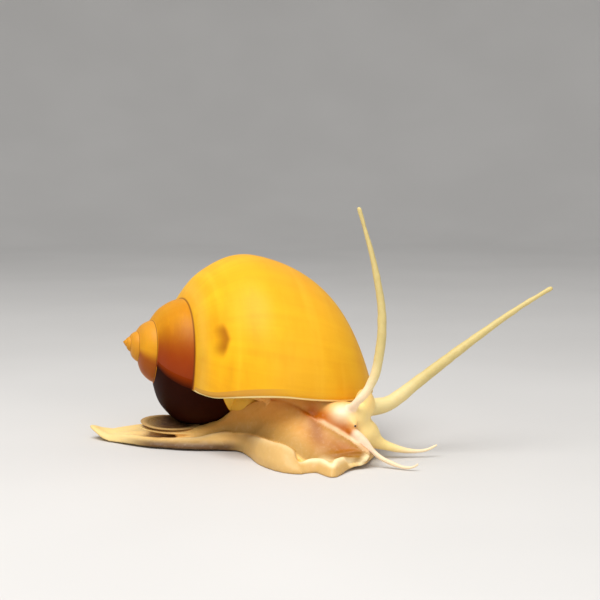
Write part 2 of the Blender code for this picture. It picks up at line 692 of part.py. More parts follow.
def build_neck_and_head(parts, work, looks, keep_outs):
    """Neck and head share one form with the roots of the feelers; a flat gap parts the two."""
    roots = (("tentacle_right", TENTACLE_RIGHT, ROOT_SHARE),
             ("tentacle_left", TENTACLE_LEFT, ROOT_SHARE),
             ("palp_right", PALP_RIGHT, ROOT_SHARE),
             ("palp_left", PALP_LEFT, ROOT_SHARE),
             ("eye_stalk_right", STALK_RIGHT, STALK_SHARE),
             ("eye_stalk_left", STALK_LEFT, STALK_SHARE),
             ("siphon", SIPHON, SIPHON_SHARE))
    for name, side in (("neck", 1), ("head", -1)):
        body = neck_body(name, work)
        extra = [head_body("head_form", work)]
        extra += [tube(label + "_stub", route, work, 0.0, share, 3) for label, route, share in roots]
        combine(body, extra, "UNION")
        direction = head_axes()[0]
        joint = HEAD_CENTRE + HEAD_NECK_CUT * direction
        divider = half_space("divider", joint - side * (GAP / 2) * direction, side * direction, work)
        cutters = [divider, *keep_outs]
        if name == "head":
            cutters.append(mouth_cutter(work))
        cut(body, cutters)
        finish(body, parts, looks["flesh"])


def build_feelers(parts, work, looks, shell_keep_out, foot_keep_out, head_keep_out):
    ends = (ROOT_SHARE, *TENTACLE_JOINTS, 1.0)
    for label, route in (("tentacle_right", TENTACLE_RIGHT), ("tentacle_left", TENTACLE_LEFT)):
        for k, (part_name, steps) in enumerate((("base", 7), ("middle", 6), ("tip", 8))):
            piece = tube(f"{label}_{part_name}", route, work, ends[k], ends[k + 1], steps, GAP)
            cut(piece, [shell_keep_out, head_keep_out])
            finish(piece, parts, looks["feeler"])
    for label, route in (("palp_right", PALP_RIGHT), ("palp_left", PALP_LEFT)):
        piece = tube(label, route, work, ROOT_SHARE, 1.0, 12, GAP)
        cut(piece, [shell_keep_out, foot_keep_out, head_keep_out])
        finish(piece, parts, looks["feeler"])
    siphon = tube("siphon", SIPHON, work, SIPHON_SHARE, 1.0, 5, GAP)
    cut(siphon, [shell_keep_out, foot_keep_out, head_keep_out])
    finish(siphon, parts, looks["flesh"])


def build_eyes(parts, work, looks, shell_keep_out, head_keep_out):
    for side, route, tentacle, palp in (("right", STALK_RIGHT, TENTACLE_RIGHT, PALP_RIGHT),
                                        ("left", STALK_LEFT, TENTACLE_LEFT, PALP_LEFT)):
        stalk = tube("eye_stalk_" + side, route, work, STALK_SHARE, 1.0, 4, GAP)
        roots = [tube("root_keep_out", wider(other), work, 0.0, 2 * ROOT_SHARE, 8)
                 for other in (tentacle, palp)]
        cut(stalk, [shell_keep_out, head_keep_out, *roots])
        finish(stalk, parts, looks["flesh"])
        finish(eye_ball("eye_" + side, route, EYE_RADII[side], work), parts, looks["eye"])


def build():
    clear_scene()
    parts, work = make_collections()
    looks = {name: make_material(name) for name in COLOURS}

    shell_keep_out = shell_solid("shell_keep_out", work, grow=GAP, ahead=GAP)
    cut(shell_keep_out, [whorl_room("inner_room", work, ROOM_RINGS, pull=GAP)])
    mantle_keep_out = shell_solid("mantle_keep_out", work, grow=GAP, ahead=GAP - MANTLE_INSET)
    foot_keep_out = foot_body("foot_keep_out", work, grow=GAP)
    head_keep_out = head_body("head_keep_out", work, grow=GAP)
    operculum_keep_out = operculum_body("operculum_keep_out", work, grow=GAP)
    eye_keep_out = eye_ball("eye_keep_out", STALK_RIGHT, EYE_RADII["right"], work, grow=GAP)

    build_shell(parts, work, looks)
    build_foot(parts, work, looks, shell_keep_out)
    build_neck_and_head(parts, work, looks, [foot_keep_out, shell_keep_out, mantle_keep_out,
                                             operculum_keep_out, eye_keep_out])
    build_feelers(parts, work, looks, shell_keep_out, foot_keep_out, head_keep_out)
    build_eyes(parts, work, looks, shell_keep_out, head_keep_out)
    operculum = operculum_body("operculum", work)
    cut(operculum, [shell_keep_out, foot_keep_out])
    finish(operculum, parts, looks["operculum"])

    for guide in list(work.objects):
        guide.hide_render = True
        guide.display_type = "WIRE"


build()
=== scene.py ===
"""Looks of the apple snail: a smooth golden shell, one skin over all the flesh, operculum and eyes.

Lengths are millimetres and angles are radians unless a name says otherwise; meshes are made in metres.
+X runs towards the head, +Y away from the camera, +Z up, with the sole on the floor at height 0.
"""
import math

import bpy
import numpy as np
import openvdb as vdb
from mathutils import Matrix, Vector
from mathutils.kdtree import KDTree


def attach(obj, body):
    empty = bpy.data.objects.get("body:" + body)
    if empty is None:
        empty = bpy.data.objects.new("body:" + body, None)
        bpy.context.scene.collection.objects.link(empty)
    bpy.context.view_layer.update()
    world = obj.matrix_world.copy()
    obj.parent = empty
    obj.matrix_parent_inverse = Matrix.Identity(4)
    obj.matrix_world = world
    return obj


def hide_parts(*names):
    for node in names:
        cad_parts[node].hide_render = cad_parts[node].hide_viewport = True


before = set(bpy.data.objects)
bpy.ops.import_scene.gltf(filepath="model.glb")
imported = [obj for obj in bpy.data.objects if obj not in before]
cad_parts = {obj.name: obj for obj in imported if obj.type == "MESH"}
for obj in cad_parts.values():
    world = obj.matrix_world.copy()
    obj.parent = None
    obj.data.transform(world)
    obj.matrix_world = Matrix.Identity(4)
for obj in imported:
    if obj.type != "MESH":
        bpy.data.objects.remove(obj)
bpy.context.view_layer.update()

MM = 0.001
TURN = 2 * math.pi
FAR = 1e3

# Camera: it looks a little down on the snail's right side
PHOTO_PIXELS = 600
FOCAL_PIXELS = 1411
SENSOR = 36
CAMERA_DISTANCE = 283
CAMERA_DROP = math.radians(6.5)
CAMERA_TARGET = np.array([12.0, 0.0, 29.5])

# Floor: a flat round that turns up into a bowl, a hair below the sole
BOWL_FLAT = 520
BOWL_CURVE = 420
FLOOR_DROP = 0.02

# Shell: one whorl profile that grows by a fixed ratio each turn about the coiling axis
WHORL_RATIO = 2.0425
AXIS_PITCH = math.radians(10.14)
AXIS_YAW = math.radians(15.13)
APEX = np.array([-23.68, 0.22, 21.015])
LIP_ANGLE = math.radians(117.41)
# Profile, as lengths along the axis and from it: first guess of its start, widest place and base end
SUTURE_START = np.array([12.5, 12.5])
PERIPHERY = np.array([28.93, 27.01])
BASE_END = np.array([52.96, 7.43])
SUTURE_SLOPE = 0.9994
SHOULDER_ANGLE = math.radians(67.14)
SHOULDER_HANDLES = (6.32, 7.68)
BASE_HANDLES = (8.59, 15.69)
BASE_ANGLE = math.radians(90.88)
PROFILE_ROUNDS = 60
PROFILE_POINTS = 400
# Funnel of the umbilicus: depth, slight swelling at its mouth, and how it curves in
UMBILICUS_SHARE = 0.66
FUNNEL_SWELL = 0.012
FUNNEL_POWER = 1.7
# How far round the lip stands back from the suture on, and at the base, and how far back the rows follow it
LIP_RETREAT = math.radians(20.34)
LIP_RETREAT_REACH = 0.43
LIP_RETREAT_LATE = math.radians(2.01)
LIP_BLEND_TURNS = 0.45

SHELL_TURNS = 6
STEPS_PER_TURN = 160
SHOULDER_STEPS = 22
BASE_STEPS = 40
COLUMELLA_STEPS = 14
COLUMELLA_BOW = 1.2
FUNNEL_STEPS = 8
WALL_AT_LIP = 0.3
WALL_INSIDE = 1.0
# Share of the wall at the corners of the mouth, points until it is full, and its share off the outer lip
WALL_CORNER = 0.12
WALL_CORNER_POINTS = 14
WALL_OFF_LIP = 0.45
# Roundness of the lip: share of the wall, and how far the edge stands ahead
LIP_ROUNDING = ((0.5, 0.18), (1.0, 0.1))
ROOM_DEPTH = math.radians(80)
ROOM_RINGS = 44
ROOM_POWER = 1.15
# Relief of the whorl: a sunk suture and a bulging shoulder, with their places and widths on the profile
SUTURE_DEPTH = 0.35
SUTURE_WIDTH = 0.03
SHOULDER_BULGE = 0.03
SHOULDER_BULGE_AT = 0.12
SHOULDER_BULGE_WIDTH = 0.07
# Faint stains of the body whorl: age in turns, share of the profile, the reach of each, and a strength
SHELL_STAINS = ((0.155, 0.12, 0.04, 0.05, 0.22), (0.085, 0.05, 0.02, 0.03, 0.2),
                (0.075, 0.19, 0.03, 0.02, 0.24), (0.1, 0.27, 0.05, 0.03, 0.12), (0.2, 0.21, 0.03, 0.06, 0.12))
# Shade of the older whorls and the amber over them, against age in turns, and the shade that is matt
SHADE_BAND = ((0.99, 1.0, 1.03, 1.07, 1.11, 1.16, 1.24), (0, 0.9, 0.7, 0.62, 0.5, 0.3, 0.0))
AMBER_BAND = ((0.98, 1.0, 1.15, 1.3, 1.8, 2.0, 2.6), (0, 1.0, 0.8, 0.6, 0.6, 0.5, 0.3))
DARK_FACE = 0.72


def smooth_step(value, low, high):
    """Rises from 0 at low to 1 at high."""
    part = np.clip((value - low) / (high - low), 0, 1)
    return part * part * (3 - 2 * part)


def smooth_fall(value, low, high):
    """Falls from 1 at low to 0 at high."""
    return smooth_step(-value, -high, -low)


def window(value, low, full, drop, end):
    """Rises from 0 at low to 1 at full, and falls from 1 at drop to 0 at end."""
    return smooth_step(value, low, full) * smooth_fall(value, drop, end)


def bell(value, centre, width):
    return np.exp(-((value - centre) / width) ** 2)


def curve_values(knots, values, where):
    """Smooth values through the knots, by cubic pieces whose slopes never overshoot."""
    knots = np.asarray(knots, float)
    values = np.asarray(values, float)
    where = np.asarray(where, float)
    steps = np.diff(knots)
    rises = np.diff(values) / steps
    slopes = np.zeros(len(knots))
    slopes[0], slopes[-1] = rises[0], rises[-1]
    before, after = rises[:-1], rises[1:]
    same = before * after > 0
    slopes[1:-1][same] = (2 * before * after)[same] / (before + after)[same]
    index = np.clip(np.searchsorted(knots, where) - 1, 0, len(knots) - 2)
    width = steps[index]
    part = np.clip((where - knots[index]) / width, 0, 1)
    keep = 1 - part
    return (values[index] * keep ** 2 * (1 + 2 * part) + values[index + 1] * part ** 2 * (3 - 2 * part)
            + slopes[index] * width * part * keep ** 2 - slopes[index + 1] * width * part ** 2 * keep)


def spline(points, count, closed=False):
    """Catmull-Rom curve through the points, with columns beyond x, y, z treated alike."""
    points = np.asarray(points, float)
    if closed:
        padded = np.vstack([points[-1], points, points[0], points[1]])
        spans = len(points)
    else:
        padded = np.vstack([2 * points[0] - points[1], points, 2 * points[-1] - points[-2]])
        spans = len(points) - 1
    at = np.linspace(0, spans, count, endpoint=not closed)
    k = np.clip(at.astype(int), 0, spans - 1)
    t = (at - k)[:, None]
    a, b, c, d = (padded[k + i] for i in range(4))
    return (2 * b + (c - a) * t + (2 * a - 5 * b + 4 * c - d) * t ** 2
            + (3 * b - a - 3 * c + d) * t ** 3) / 2


def mesh_piece(name, points, faces, material, attributes=None):
    """A smooth-shaded mesh object from points in millimetres."""
    mesh = bpy.data.meshes.new(name)
    mesh.from_pydata((np.asarray(points) * MM).tolist(), [], [tuple(int(i) for i in face) for face in faces])
    mesh.validate()
    for label, values in (attributes or {}).items():
        layer = mesh.attributes.new(label, "FLOAT", "POINT")
        layer.data.foreach_set("value", np.asarray(values, np.float32))
    mesh.shade_smooth()
    mesh.materials.append(material)
    piece = bpy.data.objects.new(name, mesh)
    bpy.context.scene.collection.objects.link(piece)
    return piece


def strip(first, second):
    """Faces between two neighbouring rows of point numbers, as far as the shorter one reaches."""
    return [(a, b, d, c) for a, b, c, d in zip(first[:-1], first[1:], second[:-1], second[1:])]


def ring_faces(rings, sides, first=0):
    """Faces along a tube of rings, whose points follow each other from the first one on."""
    rows = (first + np.arange((rings + 1) * sides)).reshape(rings + 1, sides)
    closed = np.hstack([rows, rows[:, :1]]).tolist()
    return [face for low, high in zip(closed[:-1], closed[1:]) for face in strip(high, low)]


def ball(centre, pole, side, other, rows, sides):
    """Points and faces of an ellipsoid with three half axes, in rings from pole to pole."""
    points = []
    for lean in np.linspace(0, math.pi, rows + 1):
        for angle in np.linspace(0, TURN, sides, endpoint=False):
            around = math.cos(angle) * side + math.sin(angle) * other
            points.append(centre + math.cos(lean) * pole + math.sin(lean) * around)
    return points, ring_faces(rows, sides)


# Shell form

def bezier(start, handle_a, handle_b, end, count):
    part = np.linspace(0, 1, count)[:, None]
    keep = 1 - part
    return (keep ** 3 * start + 3 * keep ** 2 * part * handle_a
            + 3 * keep * part ** 2 * handle_b + part ** 3 * end)


def whorl_profile():
    """Points (along axis, from axis) of the whorl at the lip, and each one's share of its length.

    The start moves until the profile begins where the older whorl, one turn back, carries the suture.
    """
    start = SUTURE_START
    lean = np.array([math.cos(SHOULDER_ANGLE), math.sin(SHOULDER_ANGLE)])
    tuck = np.array([math.cos(BASE_ANGLE), math.sin(BASE_ANGLE)])
    for _ in range(PROFILE_ROUNDS):
        shoulder = bezier(start, start + SHOULDER_HANDLES[0] * lean,
                          PERIPHERY - np.array([SHOULDER_HANDLES[1], 0]), PERIPHERY, PROFILE_POINTS)
        base = bezier(PERIPHERY, PERIPHERY + np.array([BASE_HANDLES[0], 0]),
                      BASE_END + BASE_HANDLES[1] * tuck, BASE_END, PROFILE_POINTS)
        fine = np.vstack([shoulder, base[1:]])
        above = fine[:, 1] - SUTURE_SLOPE * fine[:, 0]
        crossing = next(i for i in range(PROFILE_POINTS // 8, len(above) - 1)
                        if above[i] > 0 >= above[i + 1])
        share = above[crossing] / (above[crossing] - above[crossing + 1])
        touch = fine[crossing] + share * (fine[crossing + 1] - fine[crossing])
        start = (start + touch / WHORL_RATIO) / 2
    lengths = np.concatenate([[0], np.cumsum(np.linalg.norm(np.diff(fine, axis=0), axis=1))])
    seat = lengths[crossing] + share * (lengths[crossing + 1] - lengths[crossing])
    marks = np.concatenate([np.linspace(0, seat, SHOULDER_STEPS + 1),
                            np.linspace(seat, lengths[-1], BASE_STEPS + 1)[1:]])
    profile = np.stack([np.interp(marks, lengths, fine[:, axis]) for axis in (0, 1)], -1)
    return profile, marks / lengths[-1]


PROFILE, SHARE = whorl_profile()
SEAT = SHOULDER_STEPS
LAST = len(PROFILE) - 1


def shell_axes():
    """Unit vectors along the coiling axis, up from it and towards the camera."""
    along = np.array([math.cos(AXIS_PITCH) * math.cos(AXIS_YAW),
                      math.cos(AXIS_PITCH) * math.sin(AXIS_YAW), -math.sin(AXIS_PITCH)])
    upper = np.array([0, 0, 1.0]) - along * along[2]
    upper /= np.linalg.norm(upper)
    return along, upper, np.cross(along, upper)


AXES = shell_axes()


def growth(angle):
    return np.exp(math.log(WHORL_RATIO) / TURN * np.asarray(angle, float))


def shell_points(axial, radial, angle):
    """World places of points given by their own axial and radial lengths at turn angles."""
    along, upper, near = AXES
    place = np.asarray(angle) + LIP_ANGLE
    return (APEX + np.multiply.outer(axial, along) + np.multiply.outer(radial * np.cos(place), upper)
            + np.multiply.outer(radial * np.sin(place), near))


def lip_shift(share):
    """How far round the lip stands from the spiral's end at each share of the profile."""
    late = np.clip((share - 0.5) / 0.5, 0, 1) ** 2
    return (-LIP_RETREAT * np.sin(np.clip(share / LIP_RETREAT_REACH, 0, 1) * math.pi / 2)
            - LIP_RETREAT_LATE * late)


def lip_blend(angle):
    """Share of the lip's shift that the rows take, falling off back from the lip."""
    return smooth_step(angle / (TURN * LIP_BLEND_TURNS), -1, 0)


def loop_inward(section):
    """Unit directions into a closed section at each of its points."""
    ahead = np.roll(section, -1, axis=0) - section
    behind = section - np.roll(section, 1, axis=0)
    along = ahead / np.linalg.norm(ahead, axis=1, keepdims=True)
    along = along + behind / np.linalg.norm(behind, axis=1, keepdims=True)
    along /= np.linalg.norm(along, axis=1, keepdims=True)
    return np.stack([along[:, 1], -along[:, 0]], -1)


def mouth_section(count):
    """Closed section of the last whorl: outer lip, columella, and the older whorl that the mouth rests on.

    Each point comes with its share of the profile and with how fully it follows the lip's shift.
    """
    part = np.linspace(0, 1, count + 2)[1:-1]
    older = PROFILE[SEAT:] / WHORL_RATIO
    columella = PROFILE[LAST] + np.multiply.outer(part, older[-1] - PROFILE[LAST])
    columella[:, 1] += COLUMELLA_BOW * np.sin(part * math.pi)
    section = np.vstack([PROFILE, columella, older[::-1][:-1]])
    share = np.concatenate([SHARE, np.ones(count), SHARE[SEAT:][::-1][:-1]])
    outer = np.concatenate([np.ones(LAST + 1), 1 - part, np.zeros(len(older) - 1)])
    return section, share, outer


class ShellPoints:
    """Points of the shell, each with its turn, its share of the profile and its depth inside."""

    def __init__(self):
        self.points, self.turns, self.shares, self.inside = [], [], [], []

    def add(self, xyz, turn, share, depth):
        first = len(self.points)
        self.points.extend(xyz)
        for values, value in ((self.turns, turn), (self.shares, share), (self.inside, depth)):
            values.extend(np.broadcast_to(value, len(xyz)))
        return list(range(first, first + len(xyz)))


def whorl_rows(cloud, faces):
    """Outer wall, row by row back from the lip to the tip; each row runs from the suture towards the base."""
    steps, final = STEPS_PER_TURN, STEPS_PER_TURN * SHELL_TURNS
    relief = (1 - SUTURE_DEPTH / PERIPHERY[1] * bell(SHARE, 0, SUTURE_WIDTH)
              + SHOULDER_BULGE * bell(SHARE, SHOULDER_BULGE_AT, SHOULDER_BULGE_WIDTH))
    rows = []
    for i in range(final + 1):
        angle = -TURN * i / steps + np.zeros(LAST + 1)
        angle = angle + lip_shift(SHARE) * lip_blend(angle)
        size = growth(angle)
        xyz = shell_points(PROFILE[:, 0] * size, PROFILE[:, 1] * size * relief, angle)
        end = LAST if i <= steps else SEAT
        row = [None] + cloud.add(xyz[1:end + 1], angle[1:end + 1] / TURN, SHARE[1:end + 1], 0.0)
        if i > final - steps:
            row[0] = cloud.add(xyz[:1], angle[:1] / TURN, 0.0, 0.0)[0]
        rows.append(row)
    for i in range(final - steps + 1):
        rows[i][0] = rows[i + steps][SEAT]
    for newer, older in zip(rows[:-1], rows[1:]):
        faces.extend(strip(newer, older))
    tip = cloud.add([APEX], -SHELL_TURNS, 0.0, 0.0)[0]
    edge = [row[0] for row in rows[final - steps:]] + rows[final][1:SEAT + 1]
    faces.extend((a, b, tip) for a, b in zip(edge[:-1], edge[1:]))
    return rows


def funnel_rows(cloud, faces, rows):
    """Funnel of the umbilicus, from the base end in to the axis."""
    part = np.linspace(0, 1, FUNNEL_STEPS + 1)[1:]
    radial = PROFILE[LAST][1] * (1 - part)
    dip = (1 - UMBILICUS_SHARE) * part ** FUNNEL_POWER
    axial = PROFILE[LAST][0] * (1 + FUNNEL_SWELL * np.sin(part * math.pi / 2) - dip)
    funnel = []
    for i in range(STEPS_PER_TURN + 1):
        angle = -TURN * i / STEPS_PER_TURN
        angle = angle + float(lip_shift(1.0) * lip_blend(angle))
        size = float(growth(angle))
        xyz = shell_points(axial * size, radial * size, np.full(len(part), angle))
        funnel.append([rows[i][LAST]] + cloud.add(xyz, angle / TURN, 1.0, 0.3))
    for newer, older in zip(funnel[:-1], funnel[1:]):
        faces.extend(strip(newer, older))
    return funnel


def mouth_rings(cloud, faces, rows):
    """Rounded lip and the room behind it, closed at the back; gives back the columella's points."""
    section, share, outer = mouth_section(COLUMELLA_STEPS)
    shift = lip_shift(share) * outer
    inward = loop_inward(section)
    number = np.arange(len(section))
    on_lip = number <= LAST
    corner = np.minimum(number, len(section) - number) / WALL_CORNER_POINTS
    wall_share = np.clip(corner, WALL_CORNER, 1) * np.where(on_lip, 1.0, WALL_OFF_LIP)
    own = slice(LAST + 1, LAST + 1 + COLUMELLA_STEPS)
    size = growth(shift[own])
    xyz = shell_points(section[own, 0] * size, section[own, 1] * size, shift[own])
    columella = cloud.add(xyz, 0.0, 1.0, 0.6)
    rings = [rows[0] + columella + rows[STEPS_PER_TURN][LAST:SEAT:-1]]

    plan = [(part * WALL_AT_LIP, 0.0, lead) for part, lead in LIP_ROUNDING]
    for depth in np.linspace(0, 1, ROOM_RINGS):
        wall = WALL_AT_LIP + (WALL_INSIDE - WALL_AT_LIP) * min(1.0, 4 * depth)
        plan.append((wall, -ROOM_DEPTH * depth ** ROOM_POWER - 0.01, 0.0))
    for wall, back, lead in plan:
        angle = shift + back
        place = section * growth(angle)[:, None] + (wall * wall_share)[:, None] * inward
        ahead = lead / np.maximum(place[:, 1], 5) * on_lip
        xyz = shell_points(place[:, 0], place[:, 1], angle + ahead)
        rings.append(cloud.add(xyz, angle / TURN, share, 1.0))
    for low, high in zip(rings[:-1], rings[1:]):
        faces.extend(strip(high + high[:1], low + low[:1]))
    back_ring = rings[-1]
    centre = cloud.add([np.mean([cloud.points[i] for i in back_ring], axis=0)], -0.2, 0.5, 1.0)[0]
    faces.extend((a, centre, b) for a, b in zip(back_ring, back_ring[1:] + back_ring[:1]))
    return columella


def shell_mesh():
    """Closed thin-walled shell: whorls, funnel of the umbilicus, rounded lip and the room behind it."""
    cloud, faces = ShellPoints(), []
    rows = whorl_rows(cloud, faces)
    funnel = funnel_rows(cloud, faces, rows)
    columella = mouth_rings(cloud, faces, rows)

    # Flat patch that closes the funnel behind the columella
    rim = [rows[0][LAST]] + columella + [rows[STEPS_PER_TURN][LAST]]
    chain = funnel[0] + [row[-1] for row in funnel[1:]] + funnel[-1][-2::-1]
    faces.extend(zip_chains(cloud.points, chain, rim))
    return [np.array(values) for values in (cloud.points, cloud.turns, cloud.shares, cloud.inside)], faces


def zip_chains(points, rim, inner):
    """Triangles between two chains of points that share their first and last points."""
    def measures(chain):
        steps = [np.linalg.norm(points[b] - points[a]) for a, b in zip(chain[:-1], chain[1:])]
        total = np.concatenate([[0], np.cumsum(steps)])
        return total / total[-1]

    rim_share, inner_share = measures(rim), measures(inner)
    faces, a, b = [], 0, 0
    while a < len(rim) - 1 or b < len(inner) - 1:
        if b == len(inner) - 1 or (a < len(rim) - 1 and rim_share[a + 1] <= inner_share[b + 1]):
            triangle = (rim[a], rim[a + 1], inner[b])
            a += 1
        else:
            triangle = (rim[a], inner[b + 1], inner[b])
            b += 1
        if len(set(triangle)) == 3:
            faces.append(triangle)
    return faces


# Flesh: a signed distance for each form, blended into one skin

# Foot in plan: x, y, ridge height, ridge inset, lift of the edge off the floor
FOOT_OUTLINE = (
    (-31.5, 5.6, 1.0, 1.2, 0.0), (-30.4, 4.2, 1.2, 1.3, 0.0), (-28.2, 2.6, 1.5, 1.5, 0.1),
    (-25.0, 0.4, 1.8, 1.8, 0.3), (-22.2, -1.8, 1.9, 2.0, 0.4), (-18.6, -3.9, 2.0, 2.1, 0.4),
    (-15.3, -5.0, 2.1, 2.1, 0.4), (-11.5, -6.2, 2.35, 2.2, 0.4), (-7.6, -6.7, 2.65, 2.4, 0.4),
    (-3.6, -6.6, 3.5, 2.6, 0.3), (-0.4, -7.2, 3.4, 2.2, 0.2), (1.6, -10.6, 3.85, 1.5, 0.1),
    (3.2, -15.6, 4.65, 1.6, 0.0), (5.2, -20.2, 4.7, 2.2, 0.0), (7.6, -23.6, 4.4, 3.0, 0.0),
    (10.2, -25.6, 2.8, 2.9, 0.0), (12.2, -26.0, 2.1, 2.2, 0.0), (13.3, -25.2, 1.9, 1.8, 0.0),
    (14.8, -24.7, 2.6, 1.4, 0.0), (16.0, -26.2, 2.2, 1.4, 0.0), (17.4, -28.5, 1.4, 1.3, 0.0),
    (18.6, -28.3, 1.5, 1.3, 0.0), (19.9, -25.9, 2.7, 1.4, 0.1), (21.2, -23.6, 2.6, 1.4, 0.4),
    (22.6, -22.6, 2.2, 1.4, 0.7), (24.0, -22.0, 2.0, 1.3, 0.8), (25.0, -20.0, 2.0, 1.3, 0.8),
    (26.0, -15.0, 1.9, 1.4, 0.4), (26.8, -9.0, 2.0, 1.6, 0.1), (25.6, -2.0, 2.4, 1.8, 0.0),
    (23.2, 3.8, 2.8, 2.0, 0.0), (20.0, 8.0, 3.0, 2.0, 0.0), (15.6, 11.0, 3.2, 2.2, 0.0),
    (10.0, 12.4, 3.4, 2.4, 0.0), (3.6, 12.2, 3.4, 2.4, 0.0), (-3.0, 11.6, 3.2, 2.4, 0.1),
    (-10.0, 11.4, 3.0, 2.2, 0.2), (-17.0, 11.2, 2.7, 2.0, 0.3), (-23.0, 10.6, 2.3, 1.8, 0.3),
    (-28.0, 9.0, 1.7, 1.6, 0.1), (-30.8, 7.2, 1.2, 1.3, 0.0),
)
OUTLINE_POINTS = 340
PLAN_STEP = 0.25
MIDDLE_HEIGHT = 3.2
VALLEY_REACH = 1.7
VALLEY_DEPTH = 0.7
LIFT_REACH = 3.0
# Height of the foot's edge as a share of the ridge, and how round it rises to the ridge
EDGE_SHARE = 0.34
EDGE_ROUNDNESS = 1.6
# Factor on the height above the foot's sloping top, and how rounded its top edge and its sole are
TOP_SLOPE = 0.72
EDGE_ROUND = 1.1
SOLE_ROUND = 0.5
# The tail's tip lifts off the floor: height, where it starts in x, and over what length
TAIL_LIFT = 2.5
TAIL_LIFT_FROM = -26.5
TAIL_LIFT_REACH = 5.0

# Near side of the body, one sheet from the tail to the front corner of the foot:
# its line under the shell, its line halfway and its line at the foot
APRON_TOP = (
    (-13.0, -1.2, 3.2), (-10.3, -0.4, 3.6), (-7.2, 0.1, 4.2), (-4.0, -0.8, 5.5), (-1.9, -1.3, 7.2),
    (0.6, -2.8, 8.2), (3.3, -5.5, 10.0), (6.1, -8.5, 10.7), (9.3, -11.5, 10.5), (12.4, -14.0, 9.5),
    (14.3, -15.2, 8.7), (15.8, -16.0, 8.0), (17.3, -16.8, 7.2), (19.4, -18.0, 6.3), (21.6, -19.4, 5.1),
    (23.2, -20.6, 3.9), (24.6, -21.3, 3.1), (25.0, -21.4, 2.8),
)
APRON_MIDDLE = (
    (-12.9, -2.4, 2.7), (-10.1, -2.0, 3.0), (-6.9, -1.7, 3.5), (-4.1, -2.2, 4.5), (-1.8, -2.8, 5.5),
    (1.2, -4.9, 6.2), (4.1, -8.6, 7.2), (6.8, -12.0, 7.5), (9.7, -14.6, 7.4), (12.4, -16.6, 6.4),
    (14.3, -17.8, 5.3), (15.8, -18.6, 4.5), (17.3, -19.4, 3.9), (19.3, -20.2, 3.2), (21.4, -20.6, 3.0),
    (23.2, -20.9, 2.9), (24.5, -21.4, 2.4), (24.9, -21.5, 2.2),
)
APRON_FOOT = (
    (-12.0, -3.2, 1.7), (-10.0, -3.2, 1.8), (-7.2, -3.3, 2.0), (-4.6, -3.3, 2.6), (-1.8, -4.1, 3.0),
    (1.9, -6.0, 3.4), (4.4, -10.6, 3.6), (6.3, -15.4, 3.8), (8.8, -18.6, 3.7), (10.9, -21.4, 2.7),
    (12.6, -22.5, 1.7), (13.7, -22.0, 1.5), (15.4, -22.4, 1.4), (17.8, -24.2, 0.9), (19.6, -23.4, 0.9),
    (21.4, -22.5, 1.1), (23.4, -21.9, 1.3), (24.4, -21.7, 1.5),
)
APRON_COLUMNS = 150
APRON_ROWS = 40
FLAP_START = 0.6
FLAP_THICK = (0.6, 1.2)
WALL_THICK = (1.5, 1.8)
# Pleats of the fold: height, place down the sheet, slant, width, and where along they start and are full
PLEATS = ((0.5, 0.86, 0.7, 0.09, 0.72, 0.78), (0.35, 0.62, 1.6, 0.08, 0.7, 0.76))
PLEAT_PIVOT = 0.76
PLEAT_FADE = (0.84, 0.97)

# Line of the hollow above the fold, along which its shade is painted in deep amber: x, y, z, radius
GROOVE_SHADE_LINE = (
    (14.3, -14.5, 9.3, 0.0), (17.3, -16.0, 8.2, 0.0), (19.4, -17.1, 7.3, 0.0), (21.6, -18.5, 6.2, 0.0),
    (23.2, -19.7, 4.9, 0.0), (25.0, -20.4, 3.7, 0.0),
)
# Lobe of the tail that carries the operculum: centre and half sizes
LOBE = ((-13.8, 1.2, 3.0), (7.0, 4.9, 0.5))

NECK_HEADING = math.radians(-25)
# Sections of the neck: height, centre x and y, half length, half width
NECK_LEVELS = (
    (0.0, 7.0, -2.8, 14.5, 4.2), (4.0, 8.4, -3.8, 13.0, 5.0), (7.0, 11.0, -5.2, 10.5, 6.0),
    (9.0, 12.8, -6.2, 9.0, 6.6), (10.5, 13.8, -6.6, 8.4, 6.4), (13.0, 13.4, -6.2, 7.0, 6.0),
    (17.0, 12.0, -6.0, 6.0, 5.2),
)
# Swellings of the trunk: flank over the near side of the foot, and the back of the neck under the shell
TRUNK_FORMS = (
    ((11.6, -9.6, 3.8), (8.4, 6.0, 6.2), 3.0),
    ((6.5, 2.0, 8.4), (7.3, 5.6, 4.6), 3.0),
)
HEAD_HEADING = math.radians(-29)
# Forms of the head: centre, half sizes ahead, across and up, and how softly each joins
HEAD_FORMS = (
    ((19.7, -12.2, 6.9), (6.0, 5.2, 4.2), 1.0),
    ((24.5, -12.8, 10.8), (1.9, 2.1, 2.9), 1.8),
    ((24.4, -13.6, 5.3), (2.5, 3.4, 2.4), 1.6),
    ((20.0, -14.2, 9.0), (3.6, 3.1, 2.3), 1.2),
    ((22.6, -14.9, 8.9), (2.2, 2.4, 2.3), 1.6),
    ((20.8, -15.4, 4.4), (4.6, 3.0, 2.5), 1.4),
)

